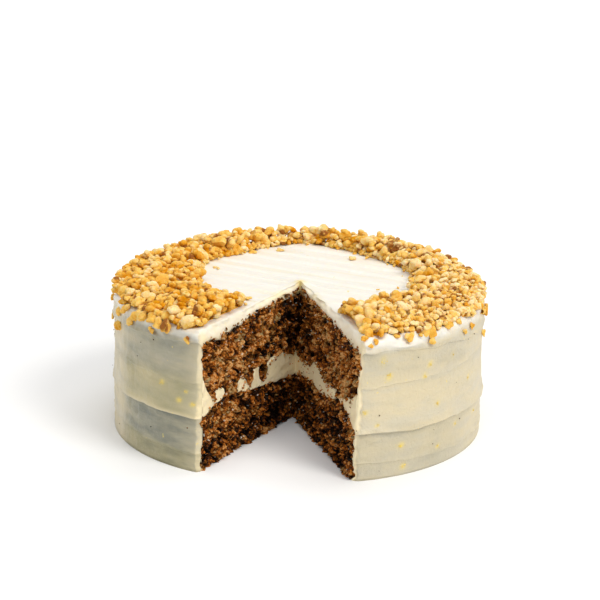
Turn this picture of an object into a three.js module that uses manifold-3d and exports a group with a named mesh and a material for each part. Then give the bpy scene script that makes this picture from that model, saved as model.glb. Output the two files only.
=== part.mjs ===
// A round carrot cake with one slice out of it: two sponge layers, a cream filling between them, a coat of
// the same cream over the top and the side, and a ring of chopped walnuts along the rim.
// Millimetres, +Z up. The origin is the middle of the footprint, on the surface that the cake stands on.
// The missing slice faces -Y. Angles are degrees about the cake's own axis, from +X towards +Y.
import * as THREE from "three";
import { ConvexGeometry } from "three/addons/geometries/ConvexGeometry.js";
import { mergeVertices } from "three/addons/utils/BufferGeometryUtils.js";
import Module from "manifold-3d";

const wasm = await Module();
wasm.setup();

// ---- Driving dimensions ----
const CAKE_RADIUS = 100;
const CAKE_HEIGHT = 75; // to the top of the cream, without the walnuts
const SPONGE_RADIUS = 96.4;
const GAP = 0.3; // between two pieces that touch
const AXIS_Y = -4; // the missing slice shortens the front, so the footprint's middle lies behind the axis
const COAT_SEGMENTS = 66;
const SPONGE_SEGMENTS = 36;

// The missing slice: an eighth of the cake, cut by a knife that leaned a little, so that the tip's x and y
// differ between the table and the top.
const SLICE = { halfAngle: 22.5, tipLow: [-2.7, 4], tipHigh: [-0.2, 8], tipWidth: 0.3 };
const SLICE_CUT = { reach: 132, below: 5, above: 14 }; // how far the cut runs past the cake

// The layers' faces: height at the axis, rise towards the rim, and width of the rounded shoulder at the rim.
const LOWER_SPONGE = { centre: 25.5, rise: 7, shoulder: 14 };
const UPPER_SPONGE_FLOOR = { centre: 37.4, rise: 2.2, shoulder: 12 };
const UPPER_SPONGE = { centre: 70.3, rise: -3.3, shoulder: 7 };
const CRUMB = { cell: 4.9, broad: 13, depth: 1 }; // the crags of a cut sponge face
const SMEAR = { cell: 9, depth: 0.4 }; // the knife's drag marks in the filling

// The cream coat. Each spatula band stands proud at its lower edge and fades upwards.
const RIM_ROUNDING = 4.5;
const LIP = { height: 1.35, fade: 8, edge: 0.9 };
const STROKE = { heading: -22, width: 13, depth: 0.6, step: 0.6, length: 150, reach: 66 }; // over the top

// The walnuts. The ring is narrow at the back and broad beside the missing slice, where it leaves the cream's
// rim bare for a little way.
const RING = { backWidth: 12, growth: 43, skew: 5, backAngle: 95, waist: 0.42, cutMargin: 2.6, segments: 60 };
const BARE_RIM = { left: { width: 7.5, from: 32, to: 24 }, right: { width: 4.5, from: 46, to: 36 } };
const BED = { height: 4.4, bump: 1.5, cell: 5.6, ragged: 1.1 }; // the smaller pieces, packed together
const CREST = { size: 10, lift: 6.6, inward: 4.5, angles: [89, 101] }; // two large pieces on top, at the back
const CHUNK = { count: 106, largest: 8.6, smallest: 5.2, spacing: 0.66, corners: 7 };
const STRAY = { onSide: 22, onTop: 8, largest: 4.6, smallest: 2.8, corners: 6 };
const ZEST = { count: 14, length: 4.2, thickness: 1.1 };

const { lerp, smoothstep, degToRad: rad } = THREE.MathUtils;
const cos = (angle) => Math.cos(rad(angle));
const sin = (angle) => Math.sin(rad(angle));

/** Seeded random numbers from 0 to 1. */
function randomFrom(seed) {
  let state = seed;
  return () => {
    state = (state + 0x6d2b79f5) >>> 0;
    let t = Math.imul(state ^ (state >>> 15), 1 | state);
    t = (t + Math.imul(t ^ (t >>> 7), 61 | t)) ^ t;
    return ((t ^ (t >>> 14)) >>> 0) / 4294967296;
  };
}

/** A fixed value from -1 to 1 for a corner of a grid. */
function cornerValue(i, j, seed) {
  const s = Math.sin(i * 127.1 + j * 311.7 + seed * 74.7) * 43758.5453;
  return 2 * (s - Math.floor(s)) - 1;
}

/** Smooth bumps from -1 to 1 over a plane, about one for each unit. */
function bumps(x, y, seed) {
  const i = Math.floor(x);
  const j = Math.floor(y);
  const u = smoothstep(x - i, 0, 1);
  const low = lerp(cornerValue(i, j, seed), cornerValue(i + 1, j, seed), u);
  const high = lerp(cornerValue(i, j + 1, seed), cornerValue(i + 1, j + 1, seed), u);
  return lerp(low, high, smoothstep(y - j, 0, 1));
}

// ---- Solids ----

/** A closed three.js geometry as a solid to join or cut with. */
function solidFrom(geometry) {
  const bare = geometry.clone();
  bare.deleteAttribute("normal");
  bare.deleteAttribute("uv");
  const merged = mergeVertices(bare, 1e-4);
  const vertProperties = new Float32Array(merged.attributes.position.array);
  const triVerts = new Uint32Array(merged.index.array);
  return new wasm.Manifold(new wasm.Mesh({ numProp: 3, vertProperties, triVerts }));
}

/** A solid's surface as a three.js geometry. */
function geometryOf(solid) {
  const { vertProperties, triVerts } = solid.getMesh();
  const geometry = new THREE.BufferGeometry();
  geometry.setAttribute("position", new THREE.BufferAttribute(vertProperties, 3));
  geometry.setIndex(new THREE.BufferAttribute(triVerts, 1));
  geometry.computeVertexNormals();
  return geometry;
}

/** The largest of a solid's separate bodies, without the loose scraps. */
function largestBody(solid) {
  return solid.decompose().reduce((best, body) => (body.volume() > best.volume() ? body : best));
}

/**
 * A solid turned about the cake's axis and shaped round it. The outline runs up the outside and starts and
 * ends on the axis, or closes on itself. Each of its points is a function from an angle to [radius, height].
 */
function turnedSolid(outline, segments) {
  const geometry = new THREE.LatheGeometry(
    outline.map(() => new THREE.Vector2()),
    segments,
  );
  for (let s = 0; s <= segments; s++)
    outline.forEach((point, i) => {
      const angle = (360 * (s % segments)) / segments;
      const [radius, height] = point(angle);
      const vertex = s * outline.length + i;
      geometry.attributes.position.setXYZ(vertex, radius * cos(angle), radius * sin(angle), height);
    });
  return solidFrom(geometry);
}

// ---- The missing slice ----

/** The x and y of the slice's tip at a height. */
function sliceTip(height) {
  return SLICE.tipLow.map((low, axis) => lerp(low, SLICE.tipHigh[axis], height / CAKE_HEIGHT));
}

/** How far a point lies outside the slice's nearer face. It is negative inside the slice. */
function distanceToSlice(x, y, height) {
  const [tipX, tipY] = sliceTip(height);
  return Math.abs(x - tipX) * cos(SLICE.halfAngle) - (tipY - y) * sin(SLICE.halfAngle);
}

/**
 * The slice as a wedge to cut away, swollen by margin on both faces. The faces' corners are cell apart, and
 * relief(side, along, height) is how far a corner stands out from its face.
 */
function sliceCut(margin, cell, relief) {
  const { reach, below, above } = SLICE_CUT;
  const tall = CAKE_HEIGHT + below + above;
  const wedge = new THREE.BoxGeometry(2, reach, tall, 1, Math.ceil(reach / cell), Math.ceil(tall / cell));
  const { position } = wedge.attributes;
  for (let i = 0; i < position.count; i++) {
    const side = position.getX(i);
    const along = reach / 2 - position.getY(i);
    const height = position.getZ(i) + tall / 2 - below;
    const [tipX, tipY] = sliceTip(height);
    const out = SLICE.tipWidth / 2 + margin + relief(side, along, height);
    position.setX(i, tipX + side * (along * sin(SLICE.halfAngle) + out * cos(SLICE.halfAngle)));
    position.setY(i, tipY - along * cos(SLICE.halfAngle) + out * sin(SLICE.halfAngle));
    position.setZ(i, height);
  }
  return solidFrom(wedge);
}

/** The slice with smooth faces. */
function smoothSliceCut(margin) {
  return sliceCut(margin, SLICE_CUT.reach, () => 0);
}

/** The crags of crumb on a cut face, calmer at the slice's tip. */
function crumbRelief(side, along, height) {
  const fine = cornerValue(Math.round(along / CRUMB.cell), Math.round(height / CRUMB.cell), 3 + side);
  const broad = bumps(along / CRUMB.broad, height / CRUMB.broad, 9 + side);
  return CRUMB.depth * (0.6 * fine + 0.5 * broad) * smoothstep(along, 2, 14);
}

/** The soft waves that the knife leaves in the filling. */
function smearRelief(side, along, height) {
  return SMEAR.depth * bumps(along / SMEAR.cell, height / SMEAR.cell, 5 + side) * smoothstep(along, 2, 14);
}

// ---- Sponges and filling ----

/** The height of a layer's face. It bends at a rounded shoulder near the rim by as much as bend(angle) says. */
function faceHeight(layer, bend, radius, angle) {
  const share = radius / SPONGE_RADIUS;
  const shoulder = smoothstep(radius, SPONGE_RADIUS - layer.shoulder, SPONGE_RADIUS);
  const waves = 0.5 * sin(2 * angle + 40) + 0.4 * sin(5 * angle);
  return layer.centre + layer.rise * share * share + bend(angle) * shoulder * shoulder + waves * share;
}

const lowerSpongeBend = (angle) => -6 - 3.3 * cos(3 * (angle + 113));
const upperFloorBend = (angle) => 2.6 + 1.2 * cos(2 * (angle + 70));
const upperSpongeBend = () => -2.4;
const lowerSpongeTop = (radius, angle) => faceHeight(LOWER_SPONGE, lowerSpongeBend, radius, angle);
const upperSpongeFloor = (radius, angle) => faceHeight(UPPER_SPONGE_FLOOR, upperFloorBend, radius, angle);
const upperSpongeTop = (radius, angle) => faceHeight(UPPER_SPONGE, upperSpongeBend, radius, angle);

/** The sponges' outer radius: baked round, but not quite. */
function spongeRadius(angle) {
  return SPONGE_RADIUS + 0.35 * sin(3 * angle + 20) + 0.25 * sin(7 * angle);
}

/** All of the cake's width, widened by extra, between the height floor and a face lifted by lift. */
function under(face, lift, floor, extra) {
  const wall = (angle) => spongeRadius(angle) + extra;
  const onFace = (share) => (angle) => {
    const radius = share * spongeRadius(angle);
    return [radius, face(radius, angle) + lift];
  };
  const ledge = (angle) => [wall(angle), onFace(1)(angle)[1]];
  const outline = [
    () => [0, floor],
    (angle) => [wall(angle), floor],
    ...(extra > 0 ? [ledge] : []),
    ...[1, 0.93, 0.85, 0.6, 0.3].map(onFace),
    () => [0, face(0, 0) + lift],
  ];
  return turnedSolid(outline, SPONGE_SEGMENTS);
}

/** A layer between two faces. */
function layerBetween(lowerFace, lowerLift, upperFace, upperLift) {
  return under(upperFace, upperLift, 1, 0).subtract(under(lowerFace, lowerLift, 0, 1));
}

// ---- Cream coat ----

/** The heights of the spatula bands' lower edges, which climb and fall round the cake. */
const bandEdges = [
  (angle) => 7.2 + 2.6 * cos(angle + 130) + 0.8 * sin(4 * angle),
  (angle) => 24.6 + 3.2 * cos(angle + 140) + sin(3 * angle + 50),
  (angle) => 50 - 3 * cos(angle + 125) + 0.9 * sin(3 * angle),
  (angle) => 57 + 12 * cos((angle + 93) / 2) ** 4,
];

/** The coat's outer radius at a height on the side. */
function coatRadius(angle, height) {
  const round = CAKE_RADIUS - 1.2 + 0.4 * sin(2 * angle + 15) + 0.25 * sin(5 * angle);
  return bandEdges.reduce((radius, edge) => {
    const above = height - edge(angle);
    const proud = smoothstep(above, -LIP.edge / 2, LIP.edge / 2);
    return radius + LIP.height * proud * Math.exp(-Math.max(above, 0) / LIP.fade);
  }, round);
}

/** The coat's outline from the axis at the foot to the axis at the top, swollen by grow. */
function coatOutline(grow) {
  const onSide = (heightAt) => (angle) => [coatRadius(angle, heightAt(angle)) + grow, heightAt(angle)];
  const rimHeight = CAKE_HEIGHT - RIM_ROUNDING;
  const onRim = (turn) => (angle) => [
    coatRadius(angle, rimHeight) - RIM_ROUNDING + (RIM_ROUNDING + grow) * cos(turn),
    rimHeight + (RIM_ROUNDING + grow) * sin(turn),
  ];
  const bands = bandEdges.flatMap((edge, i) => {
    const next = bandEdges[i + 1] ?? (() => rimHeight);
    const lip = [(angle) => edge(angle) - LIP.edge / 2, (angle) => edge(angle) + LIP.edge / 2];
    return i === bandEdges.length - 1 ? lip : [...lip, (angle) => lerp(edge(angle), next(angle), 0.5)];
  });
  return [
    () => [0, 0],
    onSide(() => 0),
    ...bands.map(onSide),
    ...[0, 32, 62, 90].map(onRim),
    () => [0, CAKE_HEIGHT + grow],
  ];
}

/** The shallow slanted cuts that the spatula's strokes leave side by side over the top. */
function strokeCuts() {
  const along = new THREE.Vector3(cos(STROKE.heading), sin(STROKE.heading), 0);
  const across = new THREE.Vector3(-along.y, along.x, 0);
  const cuts = [];
  for (let offset = -STROKE.reach; offset < STROKE.reach; ) {
    const width = STROKE.width * (1 + 0.3 * cornerValue(cuts.length, 0, 31));
    const section = new THREE.Shape([
      new THREE.Vector2(0, 1),
      new THREE.Vector2(0, 0),
      new THREE.Vector2(width, -STROKE.depth),
      new THREE.Vector2(width + STROKE.step, 1),
    ]);
    const stroke = new THREE.ExtrudeGeometry(section, { depth: STROKE.length, bevelEnabled: false });
    const start = across.clone().multiplyScalar(offset).addScaledVector(along, -STROKE.length / 2);
    const place = new THREE.Matrix4().makeBasis(across, new THREE.Vector3(0, 0, 1), along);
    cuts.push(solidFrom(stroke.applyMatrix4(place.setPosition(start.setZ(CAKE_HEIGHT)))));
    offset += width + STROKE.step;
  }
  return cuts;
}

/** The coat: an upside-down cup of cream over both sponges. */
function coat() {
  return turnedSolid(coatOutline(0), COAT_SEGMENTS)
    .subtract(under(upperSpongeTop, GAP, -1, GAP))
    .subtract(wasm.Manifold.union(strokeCuts()))
    .subtract(smoothSliceCut(0));
}

// ---- Walnuts ----

/** How far from the rim the walnut ring's inner edge lies at an angle. */
function ringWidth(angle) {
  const away = Math.abs(sin((angle - RING.backAngle) / 2));
  const growth = RING.growth + RING.skew * sin(angle - RING.backAngle);
  const wobble = 2.2 * sin(7 * angle) + 1.6 * sin(12 * angle + 60);
  const waist = 1 - RING.waist * Math.exp(-((away / 0.1) ** 2));
  return (RING.backWidth + (growth + wobble) * away) * waist;
}

/** How far from the rim the ring's outer edge lies. It steps back from the rim beside the missing slice. */
function bareRim(angle) {
  const fromSlice = ((angle + 270) % 360) - 180;
  const { width, from, to } = fromSlice < 0 ? BARE_RIM.left : BARE_RIM.right;
  return 1 + width * (1 - smoothstep(Math.abs(fromSlice), to, from));
}

/** A chopped piece as a solid: the hull of points spread round a slightly tilted ellipsoid. */
function choppedPiece(length, thickness, corners, place, random) {
  const points = Array.from({ length: corners }, (unused, i) => {
    const z = 1 - (2 * i + 1) / corners;
    const turn = i * 2.4 + 0.9 * random();
    const reach = 0.5 * (0.85 + 0.3 * random());
    const flat = Math.sqrt(1 - z * z) * length;
    const point = new THREE.Vector3(flat * Math.cos(turn), 0.78 * flat * Math.sin(turn), thickness * z);
    return point.multiplyScalar(reach);
  });
  const piece = new ConvexGeometry(points);
  piece.rotateX(0.8 * (random() - 0.5)).rotateY(0.8 * (random() - 0.5)).rotateZ(6.28 * random());
  return solidFrom(piece.translate(place.x, place.y, place.z));
}

/** The ring's ragged outline as a solid, thinner towards both edges, reaching down into the cream. */
function ringShape() {
  const top = CAKE_HEIGHT + BED.height;
  const at = (share, height, ragged) => (angle) => {
    const outer = coatRadius(angle, CAKE_HEIGHT - RIM_ROUNDING);
    const inward = lerp(bareRim(angle), ringWidth(angle) - 1, share);
    const stray = ragged * cornerValue(Math.round(angle), share, 25);
    return [outer - inward + BED.ragged * stray, height + 0.7 * stray];
  };
  const start = at(1, CAKE_HEIGHT - 4, 1);
  const foot = [start, at(0, CAKE_HEIGHT - 4, 1)];
  const crown = [at(0, top - 2.6, 1), at(0.14, top + 3, 1), at(0.78, top + 3, 0), at(0.98, top - 2, 1)];
  return turnedSolid([...foot, ...crown, start], RING.segments);
}

/** A slab over the whole cake with a bumpy top, each bump as large as one of the smaller pieces. */
function packedNuts() {
  const wide = 2 * (CAKE_RADIUS + 4);
  const cells = Math.round(wide / BED.cell);
  const slab = new THREE.BoxGeometry(wide, wide, 2, cells, cells, 1);
  const { position } = slab.attributes;
  for (let v = 0; v < position.count; v++) {
    const x = position.getX(v);
    const y = position.getY(v);
    const [i, j] = [Math.round((x / wide) * cells), Math.round((y / wide) * cells)];
    const top = CAKE_HEIGHT + BED.height + BED.bump * cornerValue(i, j, 21);
    position.setXYZ(
      v,
      x + 0.3 * BED.cell * cornerValue(i, j, 22),
      y + 0.3 * BED.cell * cornerValue(i, j, 23),
      position.getZ(v) > 0 ? top : CAKE_HEIGHT - 8,
    );
  }
  return solidFrom(slab);
}

/** The larger pieces, the largest first, spread evenly over the bed. */
function ringPieces() {
  const random = randomFrom(4);
  const placed = [];
  const pieces = CREST.angles.map((angle) => {
    const radius = CAKE_RADIUS - CREST.inward;
    const place = new THREE.Vector3(radius * cos(angle), radius * sin(angle), CAKE_HEIGHT + CREST.lift);
    return choppedPiece(CREST.size, CREST.size, CHUNK.corners, place, random);
  });
  for (let tries = 0; tries < 40000 && pieces.length < CHUNK.count; tries++) {
    const size = lerp(CHUNK.largest, CHUNK.smallest, pieces.length / CHUNK.count);
    const angle = 360 * random();
    const inward = 1 + 62 * random();
    const radius = CAKE_RADIUS - inward;
    const [x, y] = [radius * cos(angle), radius * sin(angle)];
    const inRing = inward > bareRim(angle) && inward < ringWidth(angle) && random() < radius / CAKE_RADIUS;
    const clearOfCut = distanceToSlice(x, y, CAKE_HEIGHT) > 0.5 * size + 1.6;
    const clearOf = ([px, py, other]) => Math.hypot(px - x, py - y) > CHUNK.spacing * (size + other);
    if (!inRing || !clearOfCut || !placed.every(clearOf)) continue;
    placed.push([x, y, size]);
    const overEdge = Math.max(0, bareRim(angle) + 4.5 - inward, inward - ringWidth(angle) + 4) / 4;
    const place = new THREE.Vector3(x, y, CAKE_HEIGHT + BED.height + 0.4 - 2.4 * overEdge * overEdge);
    pieces.push(choppedPiece(size, 0.7 * size, CHUNK.corners, place, random));
  }
  return pieces;
}

/** The walnut ring: the bed and its larger pieces as one body on the cream. */
function walnutRing() {
  const bed = ringShape().intersect(packedNuts()).subtract(smoothSliceCut(RING.cutMargin));
  const cream = turnedSolid(coatOutline(GAP), COAT_SEGMENTS);
  return largestBody(wasm.Manifold.union([bed, ...ringPieces()]).subtract(cream));
}

/** A point on the coat's side, sunk by a little. */
function onSide(angle, height, sunk) {
  const radius = coatRadius(angle, height) - sunk;
  return new THREE.Vector3(radius * cos(angle), radius * sin(angle), height);
}

/** Nuts and zest that stick to the coat outside the ring, spread evenly round the cake. */
function strays() {
  const random = randomFrom(11);
  const wanted = [];
  for (let i = 0; i < STRAY.onSide; i++) {
    const size = lerp(STRAY.smallest, STRAY.largest, random());
    const angle = (360 * (i + 0.7 * random())) / STRAY.onSide;
    const place = onSide(angle, CAKE_HEIGHT - 8.5 - 15 * random() ** 2, 0.1 * size);
    wanted.push({ length: size, thickness: size, place });
  }
  for (let i = 0; i < ZEST.count; i++) {
    const angle = (360 * (i + 0.7 * random())) / ZEST.count;
    const place = onSide(angle, 4 + 58 * random(), 0.1 * ZEST.thickness);
    wanted.push({ ...ZEST, place });
  }
  for (let i = 0; i < STRAY.onTop; i++) {
    const size = lerp(STRAY.smallest, STRAY.largest, 0.6 * random());
    const angle = (360 * (i + 0.8 * random())) / STRAY.onTop;
    const radius = CAKE_RADIUS - ringWidth(angle) - 6 - 8 * random();
    const place = new THREE.Vector3(radius * cos(angle), radius * sin(angle), CAKE_HEIGHT);
    wanted.push({ length: size, thickness: 0.8 * size, place });
  }
  return wanted
    .filter(({ length, place }) => distanceToSlice(place.x, place.y, place.z) > length)
    .map(({ length, thickness, place }) => choppedPiece(length, thickness, STRAY.corners, place, random));
}

// ---- The cake ----

const FINISH = {
  sponge: { color: 0x6b3a17, roughness: 0.95, metalness: 0 },
  cream: { color: 0xf4ecd6, roughness: 0.45, metalness: 0 },
  walnut: { color: 0xd9a054, roughness: 0.6, metalness: 0 },
};

const cake = new THREE.Group();
cake.name = "carrot_cake";
cake.position.y = AXIS_Y;

/** Adds one piece of the cake under its name. */
function addPiece(name, solid, finish) {
  const mesh = new THREE.Mesh(geometryOf(solid), new THREE.MeshStandardMaterial(finish));
  mesh.name = name;
  cake.add(mesh);
}

const crumbCut = sliceCut(0, CRUMB.cell, crumbRelief);
const smearCut = sliceCut(0, SMEAR.cell, smearRelief);
const lowerSponge = under(lowerSpongeTop, 0, 0, 0);
const filling = layerBetween(lowerSpongeTop, GAP, upperSpongeFloor, -GAP);
const upperSponge = layerBetween(upperSpongeFloor, 0, upperSpongeTop, 0);

addPiece("sponge_bottom", lowerSponge.subtract(crumbCut), FINISH.sponge);
addPiece("cream_filling", filling.subtract(smearCut), FINISH.cream);
addPiece("sponge_top", upperSponge.subtract(crumbCut), FINISH.sponge);
addPiece("cream_coat", largestBody(wasm.Manifold.union([coat(), ...strays()])), FINISH.cream);
addPiece("walnut_ring", walnutRing(), FINISH.walnut);

const part = new THREE.Group();
part.add(cake);

export default part;
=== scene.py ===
"""The looks of a round carrot cake with one slice out of it.

Two sponge layers with a cream filling between them stand under a coat of the same cream, and a ring of chopped
walnuts lies along the rim. Sizes are in millimetres and angles in degrees, about the cake's own axis from +X
towards +Y, until a mesh is finished, which is in metres. The missing slice faces -Y.
"""

from __future__ import annotations

import logging
import math
from dataclasses import dataclass
from enum import Enum
from typing import Any, Callable, Sequence

import bmesh
import bpy
import numpy as np
from mathutils import Matrix, Vector, noise


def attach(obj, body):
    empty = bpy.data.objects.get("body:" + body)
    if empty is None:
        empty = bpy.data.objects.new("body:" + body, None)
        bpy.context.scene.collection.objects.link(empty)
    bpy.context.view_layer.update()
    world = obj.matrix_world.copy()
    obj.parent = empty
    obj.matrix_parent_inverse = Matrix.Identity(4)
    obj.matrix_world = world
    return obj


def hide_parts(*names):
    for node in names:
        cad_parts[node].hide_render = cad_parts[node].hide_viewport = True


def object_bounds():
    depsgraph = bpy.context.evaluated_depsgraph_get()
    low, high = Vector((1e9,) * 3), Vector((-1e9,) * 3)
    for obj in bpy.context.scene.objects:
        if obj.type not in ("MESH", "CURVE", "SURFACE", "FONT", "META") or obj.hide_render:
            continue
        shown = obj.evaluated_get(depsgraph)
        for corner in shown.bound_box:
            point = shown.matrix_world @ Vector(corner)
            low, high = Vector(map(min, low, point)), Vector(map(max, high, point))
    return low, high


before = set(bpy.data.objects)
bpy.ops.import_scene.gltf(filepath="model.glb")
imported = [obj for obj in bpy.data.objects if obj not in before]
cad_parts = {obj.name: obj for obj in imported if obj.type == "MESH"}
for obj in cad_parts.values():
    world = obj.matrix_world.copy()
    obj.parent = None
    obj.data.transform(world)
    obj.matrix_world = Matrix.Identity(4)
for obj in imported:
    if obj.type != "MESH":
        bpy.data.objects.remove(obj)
CAD_BOX = [list(corner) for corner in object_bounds()]

MM = 0.001
ROOT = "root"
log = logging.getLogger("carrot_cake")

Array = np.ndarray
Colour = tuple[float, float, float]
Triple = tuple[float, float, float]


class Side(Enum):
    """The two cut faces, as seen when looking into the missing slice."""

    LEFT = -1
    RIGHT = 1


# ---- Numbers ----


def cos(angle: Any) -> Any:
    """The cosine of an angle in degrees."""
    return np.cos(np.radians(angle))


def sin(angle: Any) -> Any:
    """The sine of an angle in degrees."""
    return np.sin(np.radians(angle))


def lerp(low: Any, high: Any, share: Any) -> Any:
    """The value a share of the way from low to high."""
    return low + (high - low) * share


def smoothstep(value: Any, low: float, high: float) -> Any:
    """A soft step from 0 at low to 1 at high."""
    share = np.clip((value - low) / (high - low), 0, 1)
    return share * share * (3 - 2 * share)


def corner_value(i: Any, j: Any, seed: float) -> Any:
    """A fixed value from -1 to 1 for each corner of a grid."""
    scrambled = np.sin(i * 127.1 + j * 311.7 + seed * 74.7) * 43758.5453
    return 2 * (scrambled - np.floor(scrambled)) - 1


def bumps(x: Any, y: Any, seed: float) -> Any:
    """Smooth bumps from -1 to 1 over a plane, about one for each unit."""
    i, j = np.floor(x), np.floor(y)
    u, v = smoothstep(x - i, 0, 1), smoothstep(y - j, 0, 1)
    low = lerp(corner_value(i, j, seed), corner_value(i + 1, j, seed), u)
    high = lerp(corner_value(i, j + 1, seed), corner_value(i + 1, j + 1, seed), u)
    return lerp(low, high, v)


def rough(x: Any, y: Any, seed: float, octaves: int = 3) -> Any:
    """Bumps with finer bumps on them.

    Args:
        x: Places along the plane's first axis, in units of the broadest bump.
        y: Places along its second axis.
        seed: Another number gives other bumps.
        octaves: How many sizes of bump there are, each half of the last.

    Returns:
        Heights from about -1 to 1.
    """
    parts = [0.5**k * bumps(x * 2.03**k, y * 2.03**k, seed + 11 * k) for k in range(octaves)]
    return sum(parts) / sum(0.5**k for k in range(octaves))


@dataclass(frozen=True)
class Relief:
    """Bumps of one depth and size. With more octaves, finer bumps lie on them."""

    depth: float
    across: float
    up: float
    seed: float
    octaves: int = 1

    def at(self, x: Any, y: Any, shift: Any = 0) -> Any:
        """Its height at places. Another shift gives other bumps of the same kind."""
        return self.depth * rough(x / self.across, y / self.up, self.seed + shift, self.octaves)


def layered(reliefs: Sequence[Relief], x: Any, y: Any, shift: Any = 0) -> Any:
    """The height of several reliefs laid on each other."""
    return sum(relief.at(x, y, shift) for relief in reliefs)


def wavy(base: Any, angle: Any, waves: Sequence[Triple]) -> Any:
    """A value that waves round the cake, where each wave has a depth, a count and a turn."""
    return sum((depth * sin(count * angle + turn) for depth, count, turn in waves), base)


def bell(value: Any, width: float) -> Any:
    """A soft bump, 1 where the value is 0 and nearly gone at twice the width."""
    return np.exp(-((value / width) ** 2))


def spot(x: Any, y: Any, width: float, height: float) -> Any:
    """A soft oval spot, 1 where x and y are 0."""
    return np.exp(-((x / width) ** 2) - (y / height) ** 2)


def pebbles(x: Array, y: Array, seed: float) -> tuple[Array, Array]:
    """Scattered points, about one for each unit square.

    Args:
        x: Places along the plane's first axis.
        y: Places along its second axis.
        seed: Another number gives other points.

    Returns:
        The distance to the nearest point, and that point's own value from -1 to 1.
    """
    i, j = np.floor(x), np.floor(y)
    nearest, value = np.full(x.shape, 9.0), np.zeros(x.shape)
    for di in (-1, 0, 1):
        for dj in (-1, 0, 1):
            across, up = i + di, j + dj
            px = across + 0.5 + 0.48 * corner_value(across, up, seed)
            py = up + 0.5 + 0.48 * corner_value(across, up, seed + 1)
            distance = np.hypot(px - x, py - y)
            nearer = distance < nearest
            nearest = np.where(nearer, distance, nearest)
            value = np.where(nearer, corner_value(across, up, seed + 2), value)
    return nearest, value


# ---- The cake's form ----


@dataclass(frozen=True)
class Face:
    """A face of a sponge layer, nearly flat, which bends at a rounded shoulder near the rim."""

    centre: float
    rise: float
    shoulder: float
    bend: Callable[[Array], Any]


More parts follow.
